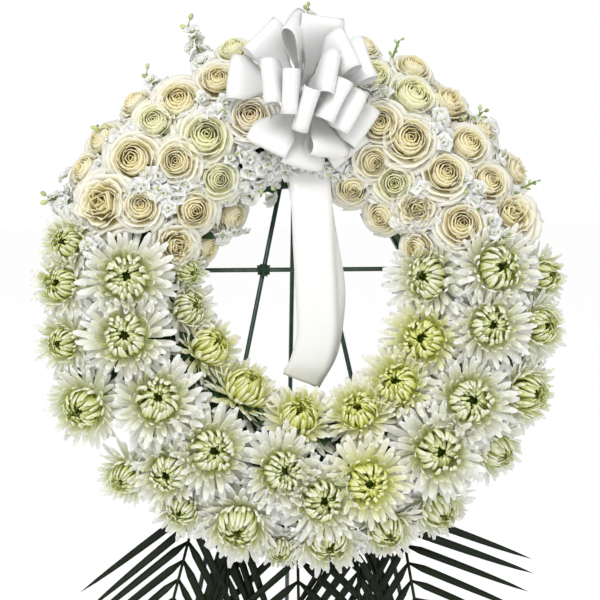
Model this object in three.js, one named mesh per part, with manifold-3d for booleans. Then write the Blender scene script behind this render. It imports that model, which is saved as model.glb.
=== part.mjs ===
// A standing funeral wreath: a ring of floral foam in a plastic tray, planted with white
// chrysanthemums below and cream roses above, with larkspur, fern and palm, a satin bow with two
// tails, and the folding three-legged wire easel that carries it.
//
// Units are millimetres. +Z is up, the wreath faces -Y, and the origin is on the floor under the
// middle of the whole piece. The easel's front frame leans back; everything fixed to it is built in
// "frame space": x to the right, y up along the leaning frame and z out of it, towards the front.
import * as THREE from "three";
import { mergeVertices } from "three/addons/utils/BufferGeometryUtils.js";
import Module from "manifold-3d";

const wasm = await Module();
wasm.setup();
const { Manifold, Mesh: SolidMesh } = wasm;

// ---- Driving dimensions ----
const LEAN = 11; // how far the front frame leans back, degrees
const REAR_ANGLE = 14; // how far the rear leg stands out from upright, degrees
const FRAME_LENGTH = 1220; // of the front legs, measured up the lean
const ROD_RADIUS = 3;
const TOUCH_GAP = 0.35; // left between two pieces that touch
const SHORTEST_EDGE = 0.2; // shorter ones, which cuts leave behind, are closed up
const LEG_TOP_HALF_GAP = 10.5; // from the middle to a front leg's axis, at its top
const LEG_SLOPE = 0.212; // how fast a front leg spreads, per mm down the frame

const WREATH_HEIGHT = 1030; // of the wreath's centre, measured up the lean
const FOAM_INNER = 152;
const FOAM_OUTER = 248;
const FOAM_DEPTH = 54;
const FOAM_CHAMFER = 10;
const TRAY_WALL = 2;
const TRAY_LIP = 14;

const HEAD_CIRCLE = 228; // radius of the circle that the flower heads are arranged about
const HEAD_PLANE = 42; // how far that circle stands in front of the frame
const HEAD_LIFT = 72; // from that circle out to a head that faces straight ahead
const HEAD_SPREAD = 95; // from that circle sideways to a head that faces the rim
const STEM_RADIUS = 2.5;

const RIBBON_WIDTH = 56;
const RIBBON_THICK = 1;
const BOW_HEIGHT = 262; // of the bow's knot above the wreath's centre
const BOW_FRONT = 82; // of the bow's knot in front of the frame
const BOW_RADIUS = 106; // from the knot to the bend of a loop

// ---- Materials ----
const material = (color, roughness, metalness = 0) =>
  new THREE.MeshStandardMaterial({ color, roughness, metalness });
const GREEN_STEEL = material(0x1f3a2c, 0.45, 0.3);
const TRAY_GREEN = material(0x2f5a34, 0.5);
const FOAM_GREEN = material(0x3f6b3a, 0.95);
const TIE_GREEN = material(0x24402a, 0.5);
const CHRYSANTHEMUM_WHITE = material(0xf1f2dc, 0.7);
const ROSE_CREAM = material(0xf4ebc6, 0.65);
const LARKSPUR_WHITE = material(0xe9eedd, 0.7);
const PALM_GREEN = material(0x16260c, 0.55);
const FERN_GREEN = material(0x24421f, 0.6);
const SATIN_WHITE = material(0xf7f6f1, 0.3);

// ---- Solids ----
const radians = THREE.MathUtils.degToRad;
const point = (x, y, z) => new THREE.Vector3(x, y, z);
const UP_THE_FRAME = point(0, 1, 0);
const ACROSS = point(1, 0, 0);
const FORWARD = point(0, 0, 1);

/** A closed three.js geometry as a solid that can be joined and cut. */
function solidOf(geometry) {
  const bare = geometry.clone();
  bare.deleteAttribute("normal");
  bare.deleteAttribute("uv");
  const merged = mergeVertices(bare, 1e-3);
  const vertProperties = new Float32Array(merged.attributes.position.array);
  const triVerts = new Uint32Array(merged.index.array);
  return new Manifold(new SolidMesh({ numProp: 3, vertProperties, triVerts }));
}

/** A solid back as a three.js geometry, without the crumbs that a cut has freed. */
function geometryOf(solid) {
  const bodies = solid.simplify(SHORTEST_EDGE).decompose();
  const [largest] = bodies.sort((a, b) => b.volume() - a.volume());
  const mesh = largest.getMesh();
  const geometry = new THREE.BufferGeometry();
  const positions = new THREE.BufferAttribute(new Float32Array(mesh.vertProperties), 3);
  geometry.setAttribute("position", positions);
  geometry.setIndex(new THREE.BufferAttribute(new Uint32Array(mesh.triVerts), 1));
  return geometry;
}

const joined = (solids) => solids.reduce((all, next) => all.add(next));

/** Turns a geometry's +Y axis to a direction and moves its origin to a place. */
function aimed(geometry, place, direction) {
  const turn = new THREE.Quaternion().setFromUnitVectors(UP_THE_FRAME, direction);
  return geometry.applyMatrix4(new THREE.Matrix4().compose(place, turn, point(1, 1, 1)));
}

/** A straight round rod from one point to another, its ends square to its length. */
function rod(from, to, radius, sides) {
  const along = to.clone().sub(from);
  const middle = from.clone().add(to).multiplyScalar(0.5);
  const cylinder = new THREE.CylinderGeometry(radius, radius, along.length(), sides);
  return solidOf(aimed(cylinder, middle, along.normalize()));
}

/** A rod through several points, with a ball at each bend. */
function bentRod(points, radius, sides) {
  const straights = points.slice(1).map((to, i) => rod(points[i], to, radius, sides));
  const balls = points.slice(1, -1).map((bend) => ball(bend, radius));
  return joined([...straights, ...balls]);
}

const ball = (centre, radius) =>
  solidOf(new THREE.IcosahedronGeometry(radius).translate(centre.x, centre.y, centre.z));

const STRIP_CORNERS = [[1, 1], [-1, 1], [-1, -1], [1, -1]];

/** A thin solid strip along a route; `sides` gives the strip's crosswise direction at each point. */
function strip(route, sides, widths, thickness) {
  const corners = [];
  route.forEach((at, i) => {
    const before = route[Math.max(i - 1, 0)];
    const after = route[Math.min(i + 1, route.length - 1)];
    const along = after.clone().sub(before).normalize();
    const face = along.clone().cross(sides[i]).normalize().multiplyScalar(thickness / 2);
    const edge = face.clone().cross(along).normalize().multiplyScalar(widths[i] / 2);
    for (const [e, f] of STRIP_CORNERS) {
      corners.push(at.clone().addScaledVector(edge, e).addScaledVector(face, f));
    }
  });
  const index = [0, 2, 1, 0, 3, 2];
  for (let station = 4; station < corners.length; station += 4) {
    for (let k = 0; k < 4; k++) {
      const next = (k + 1) % 4;
      const [a, b] = [station - 4 + k, station - 4 + next];
      index.push(a, b, b + 4, a, b + 4, a + 4);
    }
  }
  const last = corners.length - 4;
  index.push(last, last + 1, last + 2, last, last + 2, last + 3);
  const geometry = new THREE.BufferGeometry().setFromPoints(corners);
  geometry.setIndex(index);
  return solidOf(geometry);
}

// ---- The assembly: every piece is cut to clear those already in place ----
const wreath = new THREE.Group();
const frameSpace = new THREE.Group();
frameSpace.rotation.x = radians(90 - LEAN);
wreath.add(frameSpace);
const inPlace = [];

const boxesMeet = (a, b) =>
  [0, 1, 2].every((i) => a.min[i] < b.max[i] && b.min[i] < a.max[i]);

/** Adds a piece. `shape` makes its solid, larger all round by the amount it is given. */
function fit(name, shape, finish) {
  let solid = shape(0);
  const box = solid.boundingBox();
  for (const earlier of inPlace) {
    if (boxesMeet(box, earlier.boundingBox())) solid = solid.subtract(earlier);
  }
  inPlace.push(shape(TOUCH_GAP));
  const mesh = new THREE.Mesh(geometryOf(solid), finish);
  mesh.name = name;
  frameSpace.add(mesh);
}

/** A place on the wreath by clock angle (degrees, 0 at the top), reach from its centre and z. */
function onWreath(clock, reach, z) {
  const angle = radians(clock);
  return point(reach * Math.sin(angle), WREATH_HEIGHT + reach * Math.cos(angle), z);
}

// ---- The easel ----
const EASEL_SIDES = 8;
const CROSSING = 2 * ROD_RADIUS + TOUCH_GAP; // from a leg's axis to that of a rod laid on it
const PIN_DROP = 25; // hinge pin below the legs' tops
const PIN_HEIGHT = FRAME_LENGTH - PIN_DROP;
const PIN_LENGTH = 46;
const EYE_CLEARANCE = 0.5;
const EYE_WALL = 5;
const HEEL_LENGTH = 24; // of the rear leg past its pin
const WREATH_BAR_HEIGHT = WREATH_HEIGHT + 43;
const WREATH_BAR_HALF = 205;
const BAR_HOOK = 26;
const LOWER_BAR_HEIGHT = 330;
const LOWER_BAR_OVERHANG = 14;
const BINDING_RADIUS = 9;
const BINDING_LENGTH = 17;
const EYE_SIDES = 12;

const legHalfGap = (y) => LEG_TOP_HALF_GAP + LEG_SLOPE * (FRAME_LENGTH - y);

/** A direction or place in the part's own frame, from frame space, and back again. */
const standing = (vector) => vector.clone().applyEuler(frameSpace.rotation);
const toFrameSpace = new THREE.Matrix4().makeRotationX(-frameSpace.rotation.x);

/** A rod with both ends cut level with the floor, so that its foot stands flat. */
function levelRod(foot, top, radius) {
  const [low, high] = [standing(foot), standing(top)];
  const height = high.z - low.z;
  const upright = new THREE.CylinderGeometry(radius, radius, height, EASEL_SIDES);
  upright.rotateX(Math.PI / 2).translate(0, 0, height / 2);
  const shear = new THREE.Matrix4().set(
    1, 0, (high.x - low.x) / height, low.x,
    0, 1, (high.y - low.y) / height, low.y,
    0, 0, 1, low.z,
    0, 0, 0, 1,
  );
  return solidOf(upright.applyMatrix4(shear).applyMatrix4(toFrameSpace));
}

function frontLeg(side, grow) {
  const foot = point(side * legHalfGap(0), 0, 0);
  const top = point(side * legHalfGap(FRAME_LENGTH), FRAME_LENGTH, 0);
  return levelRod(foot, top, ROD_RADIUS + grow);
}

/** A rod laid level across the front frame, on its front (+1) or its back (-1). */
function crossBar(half, y, face, grow) {
  const z = face * CROSSING;
  return rod(point(-half - grow, y, z), point(half + grow, y, z), ROD_RADIUS + grow, EASEL_SIDES);
}

/** The bar that the wreath hangs on, its ends bent up. */
function wreathBar(grow) {
  const hook = (side) => [
    point(side * WREATH_BAR_HALF, WREATH_BAR_HEIGHT + BAR_HOOK + grow, CROSSING),
    point(side * WREATH_BAR_HALF, WREATH_BAR_HEIGHT, CROSSING),
  ];
  return bentRod([...hook(-1), ...hook(1).reverse()], ROD_RADIUS + grow, EASEL_SIDES);
}

/** Where the stop bar lies so that the open rear leg's heel just touches it. */
function stopBarHeight() {
  const opening = radians(LEAN + REAR_ANGLE);
  const ahead = 2 * CROSSING;
  return PIN_HEIGHT + (ahead * Math.cos(opening) - CROSSING) / Math.sin(opening);
}

/** The rear leg: a straight rod with an eye round the hinge pin and a heel past it. */
function rearLeg(grow) {
  const pin = point(0, PIN_HEIGHT, -CROSSING);
  const pinStanding = standing(pin);
  const footBack = pinStanding.y + pinStanding.z * Math.tan(radians(REAR_ANGLE));
  const foot = point(0, footBack, 0).applyMatrix4(toFrameSpace);
  const up = pin.clone().sub(foot).normalize();
  const heel = pin.clone().addScaledVector(up, HEEL_LENGTH);
  const bore = ROD_RADIUS + EYE_CLEARANCE;
  const across = (radius, half) =>
    rod(point(-half, pin.y, pin.z), point(half, pin.y, pin.z), radius, EYE_SIDES);
  const body = levelRod(foot, heel, ROD_RADIUS + grow).add(across(bore + EYE_WALL, ROD_RADIUS));
  return body.subtract(across(bore, PIN_LENGTH));
}

/** The wire bound round the crossing of a front leg and the wreath bar. */
function crossingBinding(side, grow) {
  const middle = point(side * legHalfGap(WREATH_BAR_HEIGHT), WREATH_BAR_HEIGHT, CROSSING / 2);
  const end = middle.clone().addScaledVector(UP_THE_FRAME, BINDING_LENGTH / 2 + grow);
  const start = middle.clone().addScaledVector(UP_THE_FRAME, -BINDING_LENGTH / 2 - grow);
  return rod(start, end, BINDING_RADIUS + grow, EASEL_SIDES);
}

fit("easel_leg_left", (grow) => frontLeg(-1, grow), GREEN_STEEL);
fit("easel_leg_right", (grow) => frontLeg(1, grow), GREEN_STEEL);
fit("easel_hinge_pin", (grow) => crossBar(PIN_LENGTH / 2, PIN_HEIGHT, -1, grow), GREEN_STEEL);
fit("easel_stop_bar", (grow) => crossBar(PIN_LENGTH / 2, stopBarHeight(), 1, grow), GREEN_STEEL);
fit("easel_rear_leg", rearLeg, GREEN_STEEL);
fit("easel_wreath_bar", wreathBar, GREEN_STEEL);
const LOWER_BAR_HALF = legHalfGap(LOWER_BAR_HEIGHT) + LOWER_BAR_OVERHANG;
fit("easel_lower_bar", (grow) => crossBar(LOWER_BAR_HALF, LOWER_BAR_HEIGHT, 1, grow), GREEN_STEEL);
fit("bar_binding_left", (grow) => crossingBinding(-1, grow), TIE_GREEN);
fit("bar_binding_right", (grow) => crossingBinding(1, grow), TIE_GREEN);

// ---- The ties that hold the tray to the easel, through slots in its floor ----
const TRAY_BACK = CROSSING + ROD_RADIUS + TOUCH_GAP;
const FOAM_BACK = TRAY_BACK + TRAY_WALL + TOUCH_GAP;
const FOAM_FRONT = FOAM_BACK + FOAM_DEPTH;
const FOAM_MIDDLE_R = (FOAM_INNER + FOAM_OUTER) / 2;
const FOAM_MIDDLE_Z = (FOAM_BACK + FOAM_FRONT) / 2;
const TIE_THICK = 1.2;
const TIE_WIDTH = 4.8;
const TIE_FRONT = FOAM_BACK + 2 * TIE_THICK;
const TIE_SLACK = 1;
const LEG_TIE_HEIGHT = WREATH_HEIGHT - 187;
const BAR_TIE_OFFSET = 178;

/** A closed band round a rod at `centre`, in the plane square to the rod's direction. */
function tie(centre, direction, grow) {
  const inside = ROD_RADIUS + TIE_SLACK;
  const half = point(inside + TIE_THICK + grow, TIE_WIDTH / 2 + grow, 0);
  const back = centre.z - inside - TIE_THICK - grow;
  const front = TIE_FRONT + grow;
  const block = (halfAcross, halfAlong, low, high) => {
    const box = new THREE.BoxGeometry(2 * halfAcross, 2 * halfAlong, high - low);
    box.translate(0, 0, (low + high) / 2);
    const turn = Math.atan2(-direction.x, direction.y);
    box.rotateZ(turn).translate(centre.x, centre.y, 0);
    return solidOf(box);
  };
  const wall = TIE_THICK + 2 * grow;
  const outer = block(half.x, half.y, back, front);
  return outer.subtract(block(half.x - wall, half.y + wall, back + wall, front - wall));
}

for (const [name, side] of Object.entries({ left: -1, right: 1 })) {
  const onLeg = point(side * legHalfGap(LEG_TIE_HEIGHT), LEG_TIE_HEIGHT, 0);
  const downLeg = point(-side * LEG_SLOPE, 1, 0).normalize();
  fit(`tie_leg_${name}`, (grow) => tie(onLeg, downLeg, grow), TIE_GREEN);
  const onBar = point(side * BAR_TIE_OFFSET, WREATH_BAR_HEIGHT, CROSSING);
  fit(`tie_bar_${name}`, (grow) => tie(onBar, ACROSS, grow), TIE_GREEN);
}

// ---- The palm fronds ----
const FOLIAGE_ROOT_REACH = 215;
const FOLIAGE_ROOT_FRONT = 34;
const FOLIAGE_STEM = 2.4;
const FOLIAGE_SIDES = 4;
const PALM_LEAFLET_THICK = 1.6;
const PALM_LEAFLET_WIDTH = 14;
const PALM_FRONT = 14; // how far the hanging part stays in front of the easel's rods

/** A narrow pointed leaf blade from one point to another. */
function blade(from, to, width, thickness, side) {
  return strip([from, to], [side, side], [width, 0.2 * width], thickness);
}

/** A palm frond whose rachis hangs from the foam, with leaflets in pairs down both sides. */
function palmFrond({ root, top, end, pairs, length, spread }, grow) {
  const start = onWreath(root, FOLIAGE_ROOT_REACH, FOLIAGE_ROOT_FRONT);
  const from = point(top[0], WREATH_HEIGHT + top[1], PALM_FRONT);
  const to = point(end[0], WREATH_HEIGHT + end[1], PALM_FRONT);
  const down = to.clone().sub(from).normalize();
  const pieces = [bentRod([start, from, to], FOLIAGE_STEM + grow, FOLIAGE_SIDES)];
  for (let pair = 0; pair < pairs; pair++) {
    const fraction = (pair + 0.5) / pairs;
    const node = from.clone().lerp(to, fraction);
    for (const [k, side] of [1, -1].entries()) {
      const out = down.clone().applyAxisAngle(FORWARD, side * radians(spread[k]));
      const reach = length * (1 - 0.45 * fraction) + grow;
      const tip = node.clone().addScaledVector(out, reach);
      const across = out.clone().cross(FORWARD);
      const width = PALM_LEAFLET_WIDTH + 2 * grow;
      pieces.push(blade(node, tip, width, PALM_LEAFLET_THICK + 2 * grow, across));
    }
  }
  const tip = to.clone().addScaledVector(down, 0.5 * length + grow);
  const width = PALM_LEAFLET_WIDTH + 2 * grow;
  pieces.push(blade(to, tip, width, PALM_LEAFLET_THICK + 2 * grow, ACROSS));
  return joined(pieces);
}

// Clock angle of the root on the ring, then the rachis's two ends from the wreath's centre.
const PALMS = [
  { name: "palm_far_left", root: -158, top: [-128, -250], end: [-212, -560], spread: [40, 38] },
  { name: "palm_left", root: -166, top: [-84, -262], end: [-118, -610], spread: [36, 40] },
  { name: "palm_middle", root: 179, top: [-3, -262], end: [-1, -640], spread: [47, 50] },
  { name: "palm_right", root: 164, top: [72, -262], end: [84, -600], spread: [40, 36] },
  { name: "palm_far_right", root: 156, top: [128, -262], end: [176, -560], spread: [60, 40] },
];
for (const { name, ...plan } of PALMS) {
  fit(name, (grow) => palmFrond({ pairs: 5, length: 190, ...plan }, grow), PALM_GREEN);
}

// ---- The fern fronds ----
const FERN_THICK = 1.6;
const FERN_TEETH = 5;

/** A leatherleaf frond: a stem from the foam and a flat blade with a toothed edge. */
function fernFrond({ clock, root, reach, width, front, turn = 0 }, grow) {
  const start = onWreath(clock, FOAM_MIDDLE_R + 20, FOAM_MIDDLE_Z);
  const from = onWreath(clock, root, front);
  const out = onWreath(clock + turn, 1, 0).sub(onWreath(0, 0, 0));
  const length = reach - root;
  const outline = new THREE.Shape();
  const edge = [[0, 0]];
  for (let tooth = 0; tooth < FERN_TEETH; tooth++) {
    const low = tooth / FERN_TEETH;
    const high = (tooth + 0.85) / FERN_TEETH;
    const half = (0.5 * width + grow) * (1 - low) * Math.min(1, 0.55 + 2 * low);
    edge.push([0.45 * half, length * low + 0.1]);
    edge.push([half, length * high]);
  }
  const left = edge.slice(1).reverse().map(([x, y]) => [-x, y]);
  const points = [...edge.slice(1), [0, length + grow], ...left];
  outline.setFromPoints(points.map(([x, y]) => new THREE.Vector2(x, y)));
  const thick = FERN_THICK + 2 * grow;
  const leaf = new THREE.ExtrudeGeometry(outline, { depth: thick, bevelEnabled: false, steps: 1 });
  leaf.translate(0, 0, -thick / 2);
  leaf.rotateZ(Math.atan2(-out.x, out.y)).translate(from.x, from.y, from.z);
  const inside = from.clone().addScaledVector(out, 0.12 * length);
  return rod(start, inside, FOLIAGE_STEM + grow, FOLIAGE_SIDES).add(solidOf(leaf));
}

const FERNS = [
  { name: "fern_left_low", clock: -110, root: 262, reach: 342, width: 62, front: 26 },
  { name: "fern_left", clock: -56, root: 262, reach: 334, width: 66, front: 24 },
  { name: "fern_upper_left", clock: -48, root: 262, reach: 345, width: 50, front: 30 },
  { name: "fern_top_left", clock: -12, root: 262, reach: 352, width: 60, front: 24 },
  { name: "fern_top_right", clock: 16, root: 262, reach: 342, width: 60, front: 24 },
  { name: "fern_right", clock: 92, root: 262, reach: 336, width: 66, front: 26 },
  { name: "fern_right_low", clock: 105, root: 262, reach: 334, width: 50, front: 22 },
];
for (const { name, ...plan } of FERNS) {
  fit(name, (grow) => fernFrond(plan, grow), FERN_GREEN);
}

// ---- The larkspur and stock spires ----
const FLORET_THICK = 0.62; // of a floret, as a share of its radius
const GOLDEN_TURN = radians(137.5);

/** A flower spire: a stem from the foam with florets in a spiral that shrink towards the tip. */
function spire({ clock, root, reach, florets, size, front, turn = 0 }, grow) {
  const start = onWreath(clock, FOAM_MIDDLE_R + 20, FOAM_MIDDLE_Z);
  const from = onWreath(clock, root, front);
  const out = onWreath(clock + turn, 1, 0).sub(onWreath(0, 0, 0));
  const to = from.clone().addScaledVector(out, reach - root);
  const pieces = [rod(start, from, FOLIAGE_STEM + grow, FOLIAGE_SIDES)];
  pieces.push(rod(from, to, FOLIAGE_STEM + grow, FOLIAGE_SIDES));
  const sideways = out.clone().cross(FORWARD);
  for (let i = 0; i < florets; i++) {
    const fraction = i / (florets - 1);
    const radius = size * (1 - 0.6 * fraction);
    const offset = sideways.clone().multiplyScalar(Math.cos(i * GOLDEN_TURN));
    offset.addScaledVector(FORWARD, Math.sin(i * GOLDEN_TURN)).normalize();
    const centre = from.clone().lerp(to, fraction).addScaledVector(offset, 0.6 * radius);
    const floret = new THREE.OctahedronGeometry(radius + grow);
    floret.scale(1, FLORET_THICK, 1);
    pieces.push(solidOf(aimed(floret, centre, offset)));
  }
  return joined(pieces);
}

const SPIRES = [
  { name: "larkspur_tall_left", clock: -21, root: 275, reach: 384, florets: 9, size: 21, front: 44 },
  { name: "stock_upper_left", clock: -33, root: 290, reach: 352, florets: 6, size: 18, front: 40 },
  { name: "stock_left", clock: -49, root: 295, reach: 335, florets: 5, size: 19, front: 60 },
  { name: "stock_far_left", clock: -67, root: 280, reach: 345, florets: 6, size: 21, front: 48 },
  { name: "larkspur_tall_middle", clock: 3, root: 275, reach: 384, florets: 9, size: 15, front: 30 },
  { name: "stock_upper_right", clock: 22, root: 285, reach: 365, florets: 7, size: 14, front: 40 },
  { name: "stock_right", clock: 45, root: 285, reach: 345, florets: 6, size: 18, front: 44 },
  { name: "larkspur_right", clock: 64, root: 280, reach: 344, florets: 7, size: 13, front: 60 },
];
for (const { name, ...plan } of SPIRES) {
  fit(name, (grow) => spire(plan, grow), LARKSPUR_WHITE);
}

// ---- The bow and its tails ----
const KNOT = point(7, WREATH_HEIGHT + BOW_HEIGHT, BOW_FRONT);
const KNOT_RADIUS = 20;
const NECK_WIDTH = 11; // of the ribbon where it is gathered at the knot
const PICK_RADIUS = 2;
const LOOP_OUTLINE = [
  // share of the loop's length, of its swell, and of the ribbon's width
  [0.1, 0, 0],
  [0.7, 1, 0.85],
  [1, 0.5, 1],
  [1, -0.5, 1],
  [0.7, -1, 0.85],
  [0.1, 0, 0],
];
const LOOP_SWELL = 0.13;

/** A loop of ribbon from the knot to a bend at `x`, `y`; `turn` is the bend line's angle. */
function ribbonLoop([x, y, turn], grow) {
  const flat = Math.hypot(x, y);
  const bend = point(x, y, Math.sqrt(Math.max(BOW_RADIUS ** 2 - flat ** 2, 0)));
  const out = bend.clone().normalize();
  const line = point(Math.cos(radians(turn)), Math.sin(radians(turn)), 0);
  const along = line.addScaledVector(out, -line.dot(out)).normalize();
  const swell = out.clone().cross(along).multiplyScalar(LOOP_SWELL * bend.length());
  const route = LOOP_OUTLINE.map(([reach, side]) =>
    KNOT.clone().addScaledVector(bend, reach).addScaledVector(swell, side),
  );
  const widths = LOOP_OUTLINE.map(
    ([, , share]) => THREE.MathUtils.lerp(NECK_WIDTH, RIBBON_WIDTH, share) + 2 * grow,
  );
  return strip(route, route.map(() => along), widths, RIBBON_THICK + 2 * grow);
}

// Each loop's bend, right of and above the knot, and the angle of the bend's line, degrees.
const LOOPS = [
  [-58, 68, 57],
  [-15, 88, 5],
  [20, 84, -28],
  [-96, 15, 90],
  [-52, 1, 96],
  [-25, -14, 85],
  [-2, -38, 74],
  [30, 11, 76],
  [53, 45, 100],
  [78, 36, 94],
  [38, -26, 64],
  [60, -38, 65],
  [78, -55, 50],
  [-50, -76, -12],
  [-6, -98, -50],
  [30, -86, -36],
  [60, -84, 44],
];

/** The bow: seventeen loops of one ribbon gathered at a knot, on a pick pushed into the foam. */
function bow(grow) {
  const pickEnd = onWreath(1.5, FOAM_MIDDLE_R, FOAM_MIDDLE_Z);
  return joined([
    ball(KNOT, KNOT_RADIUS + grow),
    rod(KNOT, pickEnd, PICK_RADIUS + grow, FOLIAGE_SIDES),
    ...LOOPS.map((loop) => ribbonLoop(loop, grow)),
  ]);
}

/** A ribbon tail along a route of [x, y above the wreath's centre, z] points. */
function tail(places, grow) {
  const route = places.map(([x, y, z]) => point(x, WREATH_HEIGHT + y, z));
  const widths = route.map(() => RIBBON_WIDTH - 4 + 2 * grow);
  return strip(route, route.map(() => ACROSS), widths, RIBBON_THICK + 2 * grow);
}

const FRONT_TAIL = [
  [9, 245, 70.5],
  [10, 215, 73],
  [12, 182, 78],
  [14, 150, 90],
  [16, 110, 94],
  [18, 60, 86],
  [21, 5, 76],
  [22, -45, 64],
  [14, -80, 54],
  [3, -103, 42],
];
const BACK_TAIL = [
  [10, 240, 68],
  [10, 215, 69.5],
  [12, 180, 73],
  [13, 150, 78],
  [16, 125, 80],
  [23, 79, 74],
  [33, 25, 60],
  [34, -8, 51],
  [28, -55, 38],
  [17, -80, 31],
  [4, -101, 22],
];
fit("bow", bow, SATIN_WHITE);
fit("ribbon_tail_front", (grow) => tail(FRONT_TAIL, grow), SATIN_WHITE);
fit("ribbon_tail_back", (grow) => tail(BACK_TAIL, grow), SATIN_WHITE);

// ---- The flower heads ----
const PICK_PROUD = 5; // how far in front of the foam a bunch's stems meet
const FIRM_SHARE = 0.9; // of a flower's diameter; the rest is the loose tips of its petals
const CHRYSANTHEMUM_RAYS = 10;
const CHRYSANTHEMUM_OUTLINE = [
  // share of the head's radius out, share of it forward, whether the rays show
  [0.45, -0.2, 0],
  [1, 0.08, 1],
  [0.62, 0.42, 1],
];
const ROSE_RAYS = 7;
const ROSE_OUTLINE = [
  [0.5, -0.7, 0],
  [1, 0.1, 0],
  [0.68, 0.5, 0],
];

/** A domed flower head of a given radius about its own origin, facing +Y. */
function flowerHead(radius, outline, rays) {
  const backTip = outline[0][1] * radius;
  const crown = outline[outline.length - 1][1] * radius + 0.04 * radius;
  const rings = outline.map(([share, height]) => new THREE.Vector2(share * radius, height * radius));
  const profile = [new THREE.Vector2(0, backTip), ...rings, new THREE.Vector2(0, crown)];
  const lathe = new THREE.LatheGeometry(profile, rays);
  const position = lathe.attributes.position;
  for (let i = 0; i < position.count; i++) {
    const ring = (i % profile.length) - 1;
    const column = Math.floor(i / profile.length) % rays;
    const shown = outline[ring]?.[2] ?? 0;
    const stretch = 1 - 0.12 * shown * ((column + ring) % 2);
    position.setX(i, position.getX(i) * stretch);
    position.setZ(i, position.getZ(i) * stretch);
  }
  return lathe;
}

/** A bunch of flowers whose stems meet on one pick that is pushed into the foam. */
function bunch(plan, outline, rays, grow) {
  const middle = plan.map(([clock]) => clock).reduce((sum, clock) => sum + clock) / plan.length;
  const root = onWreath(middle, FOAM_MIDDLE_R, FOAM_FRONT + PICK_PROUD);
  const pickEnd = onWreath(middle, FOAM_MIDDLE_R, FOAM_MIDDLE_Z - grow);
  const pick = rod(root, pickEnd, 1.4 * STEM_RADIUS + grow, FOLIAGE_SIDES);
  const stems = plan.flatMap(([clock, reach, diameter]) => {
    const share = THREE.MathUtils.clamp((reach - HEAD_CIRCLE) / HEAD_SPREAD, -0.97, 0.97);
    const lift = HEAD_LIFT * Math.sqrt(1 - share * share);
    const centre = onWreath(clock, reach, HEAD_PLANE + lift);
    const outward = onWreath(clock, share, 0).sub(onWreath(0, 0, 0));
    const facing = outward.addScaledVector(FORWARD, Math.sqrt(1 - share * share)).normalize();
    const head = flowerHead((FIRM_SHARE * diameter) / 2 + grow, outline, rays);
    const stem = rod(root, centre, STEM_RADIUS + grow, FOLIAGE_SIDES);
    return [stem, solidOf(aimed(head, centre, facing))];
  });
  return joined([pick, ...stems]);
}

// The planting plan: each flower's clock angle (degrees), reach from the wreath's centre and
// diameter, a row to a bunch.
const CHRYSANTHEMUMS = [
  { row: "01", plan: [[-83, 219, 126], [-76, 300, 78], [-86, 300, 82], [-100, 302, 78]] },
  { row: "02", plan: [[-76, 146, 58], [-94, 142, 82], [-117, 130, 96]] },
  { row: "03", plan: [[-102, 225, 124], [-116, 303, 96], [-125, 221, 124]] },
  { row: "04", plan: [[-149, 222, 124], [-135, 312, 78], [-150, 303, 78], [-142, 274, 92]] },
  { row: "05", plan: [[-148, 133, 100], [-179, 149, 92], [-207, 161, 92]] },
  { row: "06", plan: [[-173, 218, 114], [-164, 294, 106], [-175, 317, 64]] },
  { row: "07", plan: [[175, 254, 100], [161, 245, 102], [174, 306, 96], [160, 311, 86]] },
  { row: "08", plan: [[139, 257, 130], [132, 163, 96], [147, 319, 92]] },
  { row: "09", plan: [[122, 248, 124], [128, 315, 86], [113, 313, 96]] },
  { row: "10", plan: [[99, 241, 114], [109, 164, 114], [81, 164, 106]] },
  { row: "11", plan: [[82, 250, 124], [97, 308, 86], [85, 316, 78]] },
];
const ROSES = [
  { row: "01", plan: [[-64, 276, 74], [-58, 319, 52], [-60, 231, 52]] },
  { row: "02", plan: [[-42, 231, 54], [-50, 273, 68], [-50, 324, 54]] },
  { row: "03", plan: [[-30, 235, 66], [-39, 289, 54], [-31, 293, 66], [-39, 329, 44]] },
  { row: "04", plan: [[-15, 236, 62], [-20, 297, 52], [-14, 335, 44]] },
  { row: "05", plan: [[-67, 169, 54], [-60, 135, 44], [-50, 174, 58]] },
  { row: "06", plan: [[-34, 181, 50], [-38, 135, 48]] },
  { row: "07", plan: [[25, 243, 54], [19, 303, 52], [15, 341, 44], [30, 297, 68], [27, 338, 48]] },
  { row: "08", plan: [[35, 243, 68], [38, 322, 68], [48, 326, 44], [48, 292, 58]] },
  { row: "09", plan: [[66, 223, 62], [50, 241, 60], [59, 283, 54], [60, 328, 52], [69, 290, 68]] },
  { row: "10", plan: [[53, 185, 56], [67, 160, 44], [45, 150, 50]] },
  { row: "11", plan: [[40, 187, 52], [29, 194, 44], [26, 156, 52]] },
];
for (const { row, plan } of ROSES) {
  fit(`roses_${row}`, (grow) => bunch(plan, ROSE_OUTLINE, ROSE_RAYS, grow), ROSE_CREAM);
}
for (const { row, plan } of CHRYSANTHEMUMS) {
  const shape = (grow) => bunch(plan, CHRYSANTHEMUM_OUTLINE, CHRYSANTHEMUM_RAYS, grow);
  fit(`chrysanthemums_${row}`, shape, CHRYSANTHEMUM_WHITE);
}

// ---- The foam ring and its tray, pierced by everything that is pushed into them ----
const RING_SEGMENTS = 32;

/** A ring about frame space's z axis through the wreath's centre, from a closed profile. */
function ring(profile) {
  const outline = [...profile, profile[0]].map(([r, z]) => new THREE.Vector2(r, z));
  const turned = new THREE.LatheGeometry(outline, RING_SEGMENTS);
  return solidOf(turned.rotateX(Math.PI / 2).translate(0, WREATH_HEIGHT, 0));
}

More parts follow.
